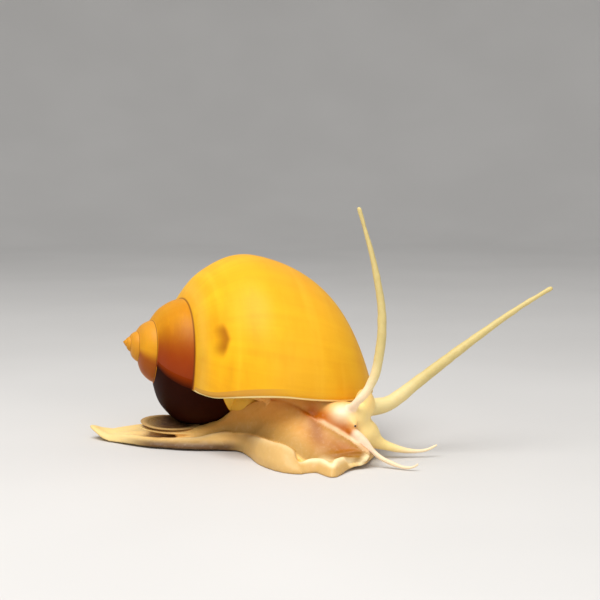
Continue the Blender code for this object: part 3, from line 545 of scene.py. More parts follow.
# Routes of the tubes: x, y, z, radius
TENTACLE_RIGHT = (
    (21.4, -15.8, 10.2, 0.8), (22.2, -17.1, 11.2, 0.8), (23.1, -18.0, 12.4, 0.78), (24.2, -18.5, 13.7, 0.8),
    (25.4, -18.5, 15.7, 0.86), (26.3, -18.5, 18.0, 0.9), (27.0, -18.5, 21.6, 0.9),
    (27.4, -18.4, 25.9, 0.86), (27.3, -18.1, 30.0, 0.78), (26.8, -18.0, 33.6, 0.7),
    (25.6, -17.8, 39.6, 0.52), (24.1, -17.6, 45.0, 0.38), (23.2, -17.5, 48.1, 0.42),
    (23.0, -17.5, 48.6, 0.36),
)
TENTACLE_LEFT = (
    (24.0, -10.8, 9.3, 1.5), (26.0, -10.0, 9.6, 1.65), (27.6, -9.5, 9.75, 1.58), (29.2, -9.0, 10.1, 1.46),
    (31.4, -8.4, 11.4, 1.36), (36.0, -7.8, 14.9, 1.15), (41.8, -7.6, 19.4, 0.96), (47.8, -7.5, 23.9, 0.74),
    (53.7, -7.4, 28.1, 0.57), (58.9, -7.3, 31.4, 0.4), (60.6, -7.3, 32.4, 0.45), (61.0, -7.3, 32.6, 0.38),
)
PALP_RIGHT = (
    (20.9, -17.2, 7.2, 0.5), (21.9, -18.1, 6.5, 0.8), (23.0, -18.8, 5.6, 0.96), (24.2, -19.3, 4.6, 0.84),
    (25.7, -20.0, 3.1, 0.55), (27.3, -20.6, 1.9, 0.48), (28.9, -21.2, 1.2, 0.42), (30.4, -21.9, 0.7, 0.36),
    (31.8, -22.6, 0.5, 0.3), (33.2, -23.0, 0.75, 0.22), (34.0, -23.2, 1.3, 0.16),
)
PALP_LEFT = (
    (23.8, -13.6, 5.0, 2.1), (25.6, -13.1, 4.1, 1.65), (28.0, -12.6, 2.8, 1.05), (30.4, -12.3, 2.0, 0.74),
    (33.0, -12.0, 1.4, 0.5), (35.5, -11.8, 1.3, 0.36), (37.2, -11.6, 1.7, 0.28), (38.6, -11.6, 2.4, 0.18),
)
STALK_RIGHT = (
    (21.0, -15.6, 8.2, 1.3), (21.6, -16.8, 8.0, 1.0), (22.1, -17.8, 7.8, 0.7), (22.3, -18.3, 7.7, 0.45),
)
STALK_LEFT = (
    (24.2, -8.6, 8.6, 1.6), (25.2, -7.6, 8.8, 1.3), (26.1, -6.8, 9.0, 1.05), (26.8, -6.2, 9.2, 0.85),
)
SIPHON = (
    (17.4, -4.8, 7.2, 2.4), (19.4, -3.4, 7.4, 2.1), (21.4, -1.6, 7.6, 1.8), (23.4, -0.4, 7.4, 1.55),
    (25.2, 0.4, 7.0, 1.15),
)
# Each tube's route, and how softly it joins the body
TUBES = {
    "tentacle_right": (TENTACLE_RIGHT, 1.2), "tentacle_left": (TENTACLE_LEFT, 1.6),
    "palp_right": (PALP_RIGHT, 1.0), "palp_left": (PALP_LEFT, 2.2),
    "stalk_right": (STALK_RIGHT, 1.2), "stalk_left": (STALK_LEFT, 1.4), "siphon": (SIPHON, 2.0),
}
TUBE_MARGIN = 5
EYE_RADII = {"right": 0.27, "left": 0.6}
EYE_SUNK = 0.55

# How softly the other forms join, in millimetres
TRUNK_BLEND = 1.8
LOBE_BLEND = 0.6
HEAD_BLEND = 1.4
HEAD_REACH = 17
APRON_BLEND = 0.9
APRON_SWELL = 0.05
ROOM_BLEND = 1.6
FLOOR_GAP = 0.3

# Flesh inside the last whorl: gaps to its wall and to the lip, and how far back it reaches
ROOM_GAP = 0.5
ROOM_FRONT_GAP = 2.2
ROOM_COLUMELLA_STEPS = 10
FLESH_DEPTH = math.radians(72)

# Callus of the shell: centre and half sizes
CALLUS = (np.array([3.0, 1.2, 9.0]), (6.2, 5.0, 4.0))

OPERCULUM_CENTRE = np.array([-14.6, 1.6, 3.75])
OPERCULUM_HALF = (6.0, 5.3)
OPERCULUM_THICK = 0.26
OPERCULUM_DISH = 0.5
OPERCULUM_PITCH = math.radians(-4)
OPERCULUM_ROLL = math.radians(5)

# Skin mesh: cell size, cells to a block, blocks worked out at a time, box, and step for slopes
VOXEL = 0.22
BLOCK = 8
BATCH = 1500
SKIN_LOW = np.array([-36.0, -32.0, -1.5])
SKIN_HIGH = np.array([64.0, 26.0, 51.0])
PROBE = 0.05
SHELL_CLEARANCE = 0.14


def smooth_min(a, b, reach):
    blend = np.maximum(reach - np.abs(a - b), 0) / reach
    return np.minimum(a, b) - blend * blend * blend * reach / 6


def smooth_max(a, b, reach):
    return -smooth_min(-a, -b, reach)


def lattice(ix, iy, iz, seed):
    """A fixed number from -1 to 1 for each whole-number place."""
    mixed = ((ix * 73856093) ^ (iy * 19349663) ^ (iz * 83492791) ^ (seed * 2654435761)) & 0xFFFFFFFF
    mixed = ((mixed ^ (mixed >> 15)) * 2246822519) & 0xFFFFFFFF
    mixed = ((mixed ^ (mixed >> 13)) * 3266489917) & 0xFFFFFFFF
    return (mixed ^ (mixed >> 16)) / 0xFFFFFFFF * 2 - 1


def corner_weights(part):
    """The corners of a cell, each with its weight at places inside the cell."""
    for corner in np.ndindex((2,) * part.shape[1]):
        weight = 1
        for axis, one in enumerate(corner):
            weight = weight * (part[:, axis] if one else 1 - part[:, axis])
        yield corner, weight


def read_grid(values, at):
    """Values between the points of a grid at places given in its own steps, by linear interpolation."""
    low = at.astype(int)
    return sum(weight * values[tuple((low + corner).T)] for corner, weight in corner_weights(at - low))


def noise(places, scale, seed):
    """Smooth noise from -1 to 1 with features about scale millimetres apart."""
    grid = np.asarray(places) / scale
    low = np.floor(grid).astype(np.int64)
    part = grid - low
    part = part * part * part * (part * (part * 6 - 15) + 10)
    return sum(weight * lattice(*(low + corner).T, seed) for corner, weight in corner_weights(part))


def tube_distance(places, route):
    """Distance to a tapered tube along a route of x, y, z, radius."""
    best = np.full(len(places), FAR)
    for a, b in zip(route[:-1], route[1:]):
        axis = b[:3] - a[:3]
        part = np.clip((places - a[:3]) @ axis / (axis @ axis), 0, 1)
        gap = places - a[:3] - part[:, None] * axis
        best = np.minimum(best, np.sqrt((gap * gap).sum(1)) - (a[3] + part * (b[3] - a[3])))
    return best


class Plan:
    """Values on a grid over the floor plan, read by linear interpolation."""

    def __init__(self, low, high, step):
        self.low, self.step = np.array(low, float), step
        self.size = ((np.array(high) - self.low) / step).astype(int) + 1
        xs, ys = (self.low[axis] + step * np.arange(self.size[axis]) for axis in (0, 1))
        self.xy = np.stack(np.meshgrid(xs, ys, indexing="ij"), -1).reshape(-1, 2)
        self.layers = {}

    def put(self, name, values):
        self.layers[name] = np.asarray(values).reshape(self.size)

    def read(self, name, xy):
        return read_grid(self.layers[name], np.clip((xy - self.low) / self.step, 0, self.size - 1.001))


def inside_ring(xy, ring):
    inside = np.zeros(len(xy), bool)
    for (x1, y1), (x2, y2) in zip(ring, np.roll(ring, -1, axis=0)):
        if y1 != y2:
            before = xy[:, 0] < (x2 - x1) * (xy[:, 1] - y1) / (y2 - y1) + x1
            inside ^= ((y1 > xy[:, 1]) != (y2 > xy[:, 1])) & before
    return inside


def nearest_on(xy, ring):
    """Distance to a closed line in plan, with the index along it as a float."""
    best = np.full(len(xy), np.inf)
    where = np.zeros(len(xy))
    for k, (a, b) in enumerate(zip(ring, np.roll(ring, -1, axis=0))):
        axis = b - a
        part = np.clip((xy - a) @ axis / (axis @ axis), 0, 1)
        gap = xy - a - part[:, None] * axis
        square = (gap * gap).sum(1)
        closer = square < best
        best = np.where(closer, square, best)
        where = np.where(closer, k + part, where)
    return np.sqrt(best), where


def soften(values, rounds):
    """Each value averaged with its neighbours on a grid, over and over."""
    for _ in range(rounds):
        for axis in (0, 1):
            values = (np.roll(values, 1, axis) + 2 * values + np.roll(values, -1, axis)) / 4
    return values


def make_foot_plan():
    """Foot in plan: distance in from the outline and the height of the top at each place."""
    plan = Plan((-36, -33), (32, 18), PLAN_STEP)
    outline = spline(FOOT_OUTLINE, OUTLINE_POINTS, closed=True)
    distance, where = nearest_on(plan.xy, outline[:, :2])
    edge = np.where(inside_ring(plan.xy, outline[:, :2]), distance, -distance)
    index = where.astype(int) % len(outline)
    part = (where - where.astype(int))[:, None]
    traits = outline[index] * (1 - part) + outline[(index + 1) % len(outline)] * part
    ridge, inset, lift = traits[:, 2:].T
    rise = np.clip(edge / inset, 0, 1)
    skirt = ridge * (EDGE_SHARE + (1 - EDGE_SHARE) * (1 - (1 - rise) ** EDGE_ROUNDNESS))
    inner = smooth_step(edge, inset, inset + VALLEY_REACH)
    top = skirt * (1 - inner) + np.minimum(MIDDLE_HEIGHT, ridge - VALLEY_DEPTH) * inner

    plan.put("lift", lift * smooth_fall(edge, 0.0, LIFT_REACH))
    plan.put("edge", edge)
    plan.put("top", soften(top.reshape(plan.size), 2))
    plan.put("past_ridge", edge - inset)
    return plan


FOOT = make_foot_plan()


def apron_mesh():
    """Closed thick sheet over the near side of the body, whose front part stands free as a pleated fold.

    Its outer face comes back too, as points with their shares along the body and down to the foot.
    """
    columns, rows = APRON_COLUMNS, APRON_ROWS
    top, middle, foot = (spline(line, columns) for line in (APRON_TOP, APRON_MIDDLE, APRON_FOOT))
    v = np.linspace(0, 1, rows)[:, None, None]
    u = np.linspace(0, 1, columns)[None, :, None]
    sheet = top * (1 - v) * (1 - 2 * v) + middle * 4 * v * (1 - v) + foot * v * (2 * v - 1)
    normal = np.cross(np.gradient(sheet, axis=0), np.gradient(sheet, axis=1))
    normal /= np.linalg.norm(normal, axis=2, keepdims=True)
    normal *= -np.sign(normal[..., 1].mean())
    folds = sum(height * bell(v + slant * (u - PLEAT_PIVOT), down, width) * smooth_step(u, first, full)
                for height, down, slant, width, first, full in PLEATS)
    sheet = sheet + normal * folds * smooth_fall(u, *PLEAT_FADE)
    free = smooth_step(u, FLAP_START - 0.06, FLAP_START + 0.02)
    wall, flap = (thick[0] * (1 - v) + thick[1] * v for thick in (WALL_THICK, FLAP_THICK))
    front = sheet.reshape(-1, 3)
    back = (sheet - normal * (wall * (1 - free) + flap * free)).reshape(-1, 3)

    half = rows * columns
    number = np.arange(half).reshape(rows, columns)
    lines = number.tolist()
    faces = [face for low, high in zip(lines[:-1], lines[1:]) for face in strip(low, high)]
    faces += [(half + a, half + d, half + c, half + b) for a, b, c, d in faces]
    border = np.concatenate([number[0], number[1:, -1], number[-1, -2::-1], number[-2:0:-1, 0]]).tolist()
    faces += [(a, half + a, half + b, b) for a, b in zip(border, border[1:] + border[:1])]
    along_share, down_share = np.broadcast_arrays(u[..., 0], v[..., 0])
    return np.concatenate([front, back]), faces, front, along_share.reshape(-1), down_share.reshape(-1)


def foot_distance(places):
    xy = places[:, :2]
    tail = np.clip((TAIL_LIFT_FROM - places[:, 0]) / TAIL_LIFT_REACH, 0, 1.4)
    height = places[:, 2] - TAIL_LIFT * tail ** 1.6
    above = (height - FOOT.read("top", xy)) * TOP_SLOPE
    body = smooth_max(above, -FOOT.read("edge", xy), EDGE_ROUND)
    return smooth_max(body, FOOT.read("lift", xy) - height, SOLE_ROUND)


def turned_axes(heading):
    """Unit vectors ahead, across and up for a heading in plan."""
    ahead = np.array([math.cos(heading), math.sin(heading), 0])
    return ahead, np.array([-ahead[1], ahead[0], 0]), np.array([0, 0, 1.0])


NECK_AXES = turned_axes(NECK_HEADING)
HEAD_AXES = turned_axes(HEAD_HEADING)
TAIL_AXES = (np.array([math.cos(OPERCULUM_PITCH), 0, math.sin(OPERCULUM_PITCH)]), np.array([0, 1.0, 0]),
             np.array([-math.sin(OPERCULUM_PITCH), 0, math.cos(OPERCULUM_PITCH)]))


def shaped_distance(local, halves):
    """Nearly the distance to an ellipse or ellipsoid, from places measured along its own axes."""
    norm = np.sqrt(((local / halves) ** 2).sum(1))
    slope = np.sqrt(((local / np.square(halves)) ** 2).sum(1)) / np.maximum(norm, 1e-6)
    return (norm - 1) / np.maximum(slope, 1e-3)


def neck_distance(places):
    """Distance to the neck, whose level sections are ellipses."""
    table = np.asarray(NECK_LEVELS)
    height = places[:, 2]
    x, y, half_length, half_width = (curve_values(table[:, 0], table[:, i], height) for i in (1, 2, 3, 4))
    offset = places[:, :2] - np.stack([x, y], -1)
    local = offset @ np.stack(NECK_AXES[:2], -1)[:2]
    side = shaped_distance(local, np.stack([half_length, half_width], -1))
    return np.maximum(np.maximum(side, height - table[-1, 0]), FLOOR_GAP - height)


def ellipsoid_distance(places, centre, axes, halves):
    return shaped_distance((places - np.array(centre)) @ np.stack(axes, -1), np.array(halves))


ROUTES = {name: spline(route, 4 * len(route)) for name, (route, _) in TUBES.items()}


def make_room_plan():
    """Section of the last whorl: distance out of its room, share of the profile, part in the lip's shift."""
    plan = Plan((0, 0), (60, 34), PLAN_STEP)
    section, share, outer = mouth_section(ROOM_COLUMELLA_STEPS)
    distance, where = nearest_on(plan.xy, section)
    k = np.clip(where.astype(int), 0, len(section) - 1)
    plan.put("room", np.where(inside_ring(plan.xy, section), -distance, distance) + WALL_INSIDE)
    plan.put("share", share[k])
    plan.put("outer", outer[k])
    return plan


ROOM = make_room_plan()


def room_distance(places):
    """Distance to the flesh that fills the shell's last whorl behind the lip."""
    along, upper, near = AXES
    local = places - APEX
    up, side = local @ upper, local @ near
    radial = np.sqrt(up * up + side * side)
    angle = np.mod(np.arctan2(side, up) - LIP_ANGLE + math.pi, TURN) - math.pi
    size = growth(angle)
    at = np.stack([local @ along, radial], -1) / size[:, None]
    flat = ROOM.read("room", at) * size + ROOM_GAP
    lip = lip_shift(ROOM.read("share", at)) * ROOM.read("outer", at)
    front = (angle - lip) * radial + ROOM_FRONT_GAP
    back = (-FLESH_DEPTH - angle) * radial
    return smooth_max(smooth_max(flat, front, 2.0), back, 1.0)


class MeshField:
    """Signed distance to a closed mesh, in a narrow band round it."""

    def __init__(self, points, faces, step=0.35, band=4.0):
        points = np.asarray(points)
        triangles = [face[:3] for face in faces]
        triangles += [(face[0], face[2], face[3]) for face in faces if len(face) == 4]
        self.step, self.band = step, band * step
        self.low = np.floor(points.min(0) / step).astype(int) - 6
        high = np.ceil(points.max(0) / step).astype(int) + 6
        grid = vdb.FloatGrid.createLevelSetFromPolygons(
            points.astype(np.float32), triangles=np.array(triangles, np.uint32),
            transform=vdb.createLinearTransform(voxelSize=step), halfWidth=band)
        self.values = np.zeros(tuple(high - self.low), np.float32)
        grid.copyToArray(self.values, ijk=tuple(int(i) for i in self.low))

    def read(self, places):
        at = places / self.step - self.low
        inside = ((at >= 0) & (at < np.array(self.values.shape) - 1.001)).all(1)
        result = np.full(len(places), self.band)
        result[inside] = read_grid(self.values, at[inside])
        return result


APRON_POINTS, APRON_FACES, APRON_FACE, APRON_ALONG, APRON_DOWN = apron_mesh()
APRON = MeshField(APRON_POINTS, APRON_FACES, step=0.25, band=10.0)


def apron_place(points):
    """Share along and down the apron's outer face, and distance from it, for each skin point."""
    tree = KDTree(len(APRON_FACE))
    for index, place in enumerate(APRON_FACE):
        tree.insert(place, index)
    tree.balance()
    along, down, distance = np.zeros(len(points)), np.ones(len(points)), np.full(len(points), FAR)
    for i in np.nonzero(APRON.read(points) < 1.2)[0]:
        _, index, distance[i] = tree.find(points[i])
        along[i], down[i] = APRON_ALONG[index], APRON_DOWN[index]
    return along, down, distance


def head_distance(places):
    head = np.full(len(places), FAR)
    for centre, halves, reach in HEAD_FORMS:
        head = smooth_min(head, ellipsoid_distance(places, centre, HEAD_AXES, halves), reach)
    return head


def flesh_distance(places):
    """The whole body as one blended form, still without regard to the shell."""
    trunk = neck_distance(places)
    for centre, halves, reach in TRUNK_FORMS:
        trunk = smooth_min(trunk, ellipsoid_distance(places, centre, NECK_AXES, halves), reach)
    trunk = np.maximum(trunk, FLOOR_GAP - places[:, 2])
    body = smooth_min(foot_distance(places), trunk, TRUNK_BLEND)
    body = smooth_min(body, ellipsoid_distance(places, LOBE[0], TAIL_AXES, LOBE[1]), LOBE_BLEND)
    apron = APRON.read(places)
    reach = APRON_BLEND * (1 - 0.5 * smooth_step(places[:, 0], 12, 16))
    body = smooth_min(body, np.where(apron > APRON.band * 0.98, FAR, apron - APRON_SWELL), reach)
    near_head = np.linalg.norm(places - np.array(HEAD_FORMS[0][0]), axis=1) < HEAD_REACH
    if near_head.any():
        body[near_head] = smooth_min(body[near_head], head_distance(places[near_head]), HEAD_BLEND)
    for name, route in ROUTES.items():
        low, high = route[:, :3].min(0) - TUBE_MARGIN, route[:, :3].max(0) + TUBE_MARGIN
        close = ((places > low) & (places < high)).all(1)
        if close.any():
            body[close] = smooth_min(body[close], tube_distance(places[close], route), TUBES[name][1])
    return np.maximum(body, -places[:, 2])


def skin_distance(places, shell):
    body = smooth_min(flesh_distance(places), room_distance(places), ROOM_BLEND)
    return smooth_max(body, SHELL_CLEARANCE - shell.read(places), 0.25)


def wrinkled_distance(places, shell):
    """Distance to the skin with its small wrinkles."""
    wrinkles = 0.035 * noise(places, 0.9, 3) + 0.05 * noise(places * np.array([1, 1, 1.6]), 2.2, 5)
    return skin_distance(places, shell) + wrinkles


def skin_mesh(shell):
    """Quads over the skin: coarse blocks, fine cells in the blocks near it, points then moved onto it."""
    size = VOXEL * BLOCK
    blocks = np.ceil((SKIN_HIGH - SKIN_LOW) / size).astype(int)
    index = np.stack(np.meshgrid(*[np.arange(n) for n in blocks], indexing="ij"), -1).reshape(-1, 3)
    coarse = skin_distance(SKIN_LOW + (index + 0.5) * size, shell)
    values = np.clip(coarse, -size, size).reshape(blocks).astype(np.float32)
    for axis in range(3):
        values = np.repeat(values, BLOCK, axis)
    offsets = np.stack(np.meshgrid(*[np.arange(BLOCK)] * 3, indexing="ij"), -1).reshape(-1, 3)
    chosen = index[np.abs(coarse) < size * 1.25]
    for start in range(0, len(chosen), BATCH):
        cells = (chosen[start:start + BATCH, None, :] * BLOCK + offsets[None]).reshape(-1, 3)
        values[tuple(cells.T)] = skin_distance(SKIN_LOW + cells * VOXEL, shell)
    grid = vdb.FloatGrid(float(size))
    grid.copyFromArray(np.clip(values, -size, size))
    points, quads = grid.convertToQuads(0.0)
    points = SKIN_LOW + points.astype(float) * VOXEL
    for _ in range(2):
        value = wrinkled_distance(points, shell)
        ahead = [wrinkled_distance(points + move, shell) for move in PROBE * np.eye(3)]
        slope = (np.stack(ahead, -1) - value[:, None]) / PROBE
        square = np.maximum((slope * slope).sum(1), 0.2)
        shift = -value[:, None] * slope / square[:, None]
        length = np.linalg.norm(shift, axis=1, keepdims=True)
        points = points + shift * np.minimum(1, 0.5 * VOXEL / np.maximum(length, 1e-9))
    return points, quads[:, ::-1].astype(int)


def largest_part(points, quads):
    """Leave only the biggest connected surface."""
    label = np.arange(len(points))
    while True:
        lowest = label[quads].min(1)
        fresh = label.copy()
        for k in range(4):
            np.minimum.at(fresh, quads[:, k], lowest)
        fresh = fresh[fresh]
        if (fresh == label).all():
            break
        label = fresh
    names, counts = np.unique(label, return_counts=True)
    keep = label == names[counts.argmax()]
    new_index = np.cumsum(keep) - 1
    return points[keep], new_index[quads[keep[quads[:, 0]]]]


# Materials

def linear(colour):
    """Linear light from 0-255 display values."""
    parts = (c / 255 for c in colour)
    return tuple(part / 12.92 if part <= 0.04045 else ((part + 0.055) / 1.055) ** 2.4 for part in parts)


class Look:
    """The shader of one material; each method adds a node and gives back what it puts out."""

    def __init__(self, name, rough, specular=0.5):
        self.material = bpy.data.materials.new(name)
        self.material.use_nodes = True
        self.tree = self.material.node_tree
        self.shader = self.tree.nodes["Principled BSDF"]
        self.shader.inputs["Roughness"].default_value = rough
        self.shader.inputs["Specular IOR Level"].default_value = specular

    def node(self, kind, **settings):
        made = self.tree.nodes.new(kind)
        for key, value in settings.items():
            setattr(made, key, value)
        return made

    def feed(self, sockets, values):
        """Numbers and 0-255 colours are set on the sockets; outputs of other nodes are linked to them."""
        for socket, value in zip(sockets, values):
            if isinstance(value, (int, float)):
                socket.default_value = value
            elif isinstance(value, tuple):
                socket.default_value = (*linear(value), 1)
            else:
                self.tree.links.new(value, socket)

    def place(self):
        return self.node("ShaderNodeNewGeometry").outputs["Position"]

    def attribute(self, name):
        return self.node("ShaderNodeAttribute", attribute_name=name).outputs["Fac"]

    def math(self, operation, *values):
        made = self.node("ShaderNodeMath", operation=operation)
        self.feed(made.inputs, values)
        return made.outputs[0]

    def times(self, first, *others):
        for other in others:
            first = self.math("MULTIPLY", first, other)
        return first

    def ramp(self, value, low, high, to_low=0.0, to_high=1.0):
        made = self.node("ShaderNodeMapRange", interpolation_type="SMOOTHSTEP")
        labels = ("Value", "From Min", "From Max", "To Min", "To Max")
        self.feed([made.inputs[label] for label in labels], (value, low, high, to_low, to_high))
        return made.outputs["Result"]

    def noise(self, vector, scale, detail=3.0, rough=0.5):
        made = self.node("ShaderNodeTexNoise")
        labels = ("Vector", "Scale", "Detail", "Roughness")
        self.feed([made.inputs[label] for label in labels], (vector, scale, detail, rough))
        return made.outputs["Fac"]

    def combine(self, *values):
        made = self.node("ShaderNodeCombineXYZ")
        self.feed(made.inputs, values)
        return made.outputs[0]

    def mix(self, factor, first, second):
        made = self.node("ShaderNodeMix", data_type="RGBA")
        self.feed((made.inputs[0], made.inputs[6], made.inputs[7]), (factor, first, second))
        return made.outputs[2]

    def coats(self, base, *coats):
        """Colours laid over the base one after the other, each where its mask says."""
        for mask, colour in coats:
            base = self.mix(mask, base, colour)
        return base

    def scatter(self, weight, radius, scale):
        self.shader.inputs["Subsurface Weight"].default_value = weight
        self.shader.inputs["Subsurface Radius"].default_value = radius
        self.shader.inputs["Subsurface Scale"].default_value = scale * MM

    def gloss(self, weight, rough):
        self.shader.inputs["Coat Weight"].default_value = weight
        self.shader.inputs["Coat Roughness"].default_value = rough

    def bump(self, height, distance, strength):
        made = self.node("ShaderNodeBump")
        made.inputs["Distance"].default_value = distance * MM
        made.inputs["Strength"].default_value = strength
        self.tree.links.new(height, made.inputs["Height"])
        self.tree.links.new(made.outputs["Normal"], self.shader.inputs["Normal"])

    def finish(self, base):
        self.tree.links.new(base, self.shader.inputs["Base Color"])
        return self.material


def shell_material(name, rough, specular):
    look = Look(name, rough, specular)
    turn, share, inside, past = (look.attribute(label) for label in ("turn", "share", "inside", "past_lip"))

    def cloud(along, across, offset, detail, rough=0.5):
        """Noise with so many features to a turn and so many across the whorl."""
        place = look.combine(look.times(turn, along), look.times(share, across), offset)
        return look.noise(place, 1.0, detail, rough)

    lines = cloud(60.0, 1.6, 0.0, 4.0, 0.6)
    broad = cloud(9.0, 1.2, 3.0, 2.0)
    bands = cloud(1.5, 16.0, 7.0, 2.0)
    streaks = cloud(14.0, 15.0, 11.0, 5.0, 0.6)

    # Wedge-shaped smudge under the suture, a little way back from the lip
    off = look.math("ABSOLUTE", look.math("ADD", turn, 0.121))
    wedge = look.math("SUBTRACT", look.math("SUBTRACT", 0.19, look.times(off, 0.9)), share)
    smudge = look.times(look.ramp(wedge, -0.006, 0.022), look.ramp(wedge, 0.02, 0.1, 1.0, 0.0),
                        look.ramp(off, 0.012, 0.036, 1.0, 0.0))
    smudge = look.math("MAXIMUM", smudge, look.attribute("stain"))

    # The dark lower whorl ends at a slanting edge; past it, the base of the whorl in the shadow under the lip
    # is painted lighter, as painted light
    edge_line = look.math("ADD", share, look.times(turn, -1.15))
    deep = look.times(look.attribute("deep"), look.ramp(edge_line, 1.71, 1.722, 1.0, 0.0))
    dark = look.math("MAXIMUM", look.attribute("shade"), deep)
    painted_light_past_edge = look.times(look.ramp(edge_line, 1.71, 1.722), look.ramp(turn, -0.84, -0.86),
                            look.ramp(turn, -1.0, -0.99))

    lip = look.times(look.ramp(past, -0.0105, -0.009), look.ramp(inside, 0.0, 0.1, 0.8, 0.0),
                     look.ramp(share, 0.28, 0.46, 1.0, 0.12))
    base = look.coats(
        look.mix(look.ramp(broad, 0.3, 0.7), (242, 174, 22), (251, 195, 34)),
        (look.ramp(lines, 0.35, 0.75, 0.0, 0.45), (228, 156, 20)),
        (look.ramp(bands, 0.5, 0.75, 0.0, 0.3), (255, 205, 60)),
        (look.ramp(share, 0.18, 0.48, 0.0, 0.45), (222, 158, 36)),
        (look.attribute("amber"), (180, 104, 2)),
        (look.attribute("tan"), (206, 140, 40)),
        (look.times(look.attribute("band"), 0.4), (236, 186, 74)),
        (look.ramp(streaks, 0.42, 0.72, 0.0, 0.3), (226, 150, 14)),
        (look.times(smudge, 0.85), (158, 88, 4)),
        # painted light: the whorl's base past the dark edge, lightened against the lip's shadow
        (painted_light_past_edge, (255, 214, 92)),
        (look.ramp(dark, 0.1, 0.7), (146, 54, 6)),
        (look.ramp(dark, 0.66, 0.96), (42, 14, 6)),
        # dark line along the sutures: partly their own colour, partly painted shade of the crease
        (look.ramp(look.attribute("suture"), 0.45, 0.9, 0.0, 0.7), (100, 48, 6)),
        (lip, (200, 144, 58)),
        (look.ramp(inside, 0.5, 1.0), (205, 158, 84)),
        (look.ramp(past, -0.0018, -0.001), (250, 226, 158)))
    look.scatter(0.12, (1.0, 0.5, 0.1), 1.6)
    look.bump(lines, 0.05, 0.35)
    return look.finish(base)


def skin_material():
    look = Look("snail_skin", 0.5, 0.3)
    place = look.place()
    mottle = look.noise(place, 260.0, 4.0, 0.6)
    speckle = look.noise(place, 1500.0, 2.0, 0.6)
    # Wall colour: painted light towards the top, against the shell's shadow, and darker lower down as painted
    # shade; the fold is darker, partly its own colour, partly painted shade
    wall_colour = look.coats(look.mix(look.attribute("wall_light_to_shade"), (234, 172, 84), (180, 138, 70)),
                             (look.attribute("flap"), (150, 104, 12)))
    pale_colour = look.mix(look.attribute("far_out"), (228, 208, 148), (206, 186, 122))
    paints = (("face", (255, 224, 146)), ("foot", (212, 170, 102)), ("wall", wall_colour),
              ("hollow_shade_and_brown", (142, 74, 2)), ("callus", (250, 204, 88)), ("orange_and_groove_shade", (186, 98, 2)),
              ("pale", pale_colour), ("pink_and_cheek_highlight", (246, 222, 190)), ("painted_highlight_and_pale_edge", (250, 228, 178)),
              # painted shade of the tail's low skirt
              ("dark", (86, 54, 22)))
    base = look.coats(look.mix(look.ramp(mottle, 0.3, 0.7), (236, 188, 106), (246, 202, 122)),
                      *((look.attribute(name), colour) for name, colour in paints),
                      (look.ramp(speckle, 0.5, 0.75, 0.0, 0.06), (255, 238, 206)))
    look.gloss(0.06, 0.3)
    look.scatter(0.12, (0.8, 0.6, 0.35), 1.2)
    look.bump(speckle, 0.06, 0.4)
    return look.finish(base)


def operculum_material():
    look = Look("horny_operculum", 0.45, 0.2)
    ring = look.attribute("ring")
    wave = look.noise(look.combine(look.times(ring, 26.0), 0.0, 0.0), 1.0, 3.0, 0.6)
    grain = look.noise(look.place(), 700.0, 4.0)
    base = look.coats(look.mix(look.ramp(wave, 0.35, 0.65), (58, 32, 18), (98, 64, 34)),
                      (look.ramp(look.attribute("front"), -0.85, -0.1, 0.9, 0.0), (150, 116, 58)),
                      (look.ramp(grain, 0.45, 0.7, 0.0, 0.3), (150, 112, 68)),
                      (look.ramp(ring, 0.74, 0.93), (188, 150, 92)))
    look.scatter(0.1, (1.0, 0.5, 0.2), 1.0)
    look.bump(wave, 0.15, 0.8)
    return look.finish(base)


def clouded(look, scale, detail, low, high, first, second):
    """Base colour that drifts between two colours in soft clouds."""
    return look.finish(look.mix(look.ramp(look.noise(look.place(), scale, detail), low, high), first, second))


def callus_material():
    look = Look("callus_glaze", 0.42, 0.14)
    look.scatter(0.12, (1.0, 0.5, 0.1), 1.6)
    return clouded(look, 300.0, 3.0, 0.3, 0.7, (236, 180, 62), (248, 200, 84))


def eye_material():
    look = Look("snail_eye", 0.12)
    look.gloss(0.3, 0.08)
    return clouded(look, 900.0, 2.0, 0.4, 0.7, (34, 14, 8), (58, 28, 16))


def floor_material():
    look = Look("pale_floor", 0.75, 0.2)
    return clouded(look, 12.0, 2.0, 0.3, 0.7, (206, 203, 199), (210, 207, 203))


# Pieces

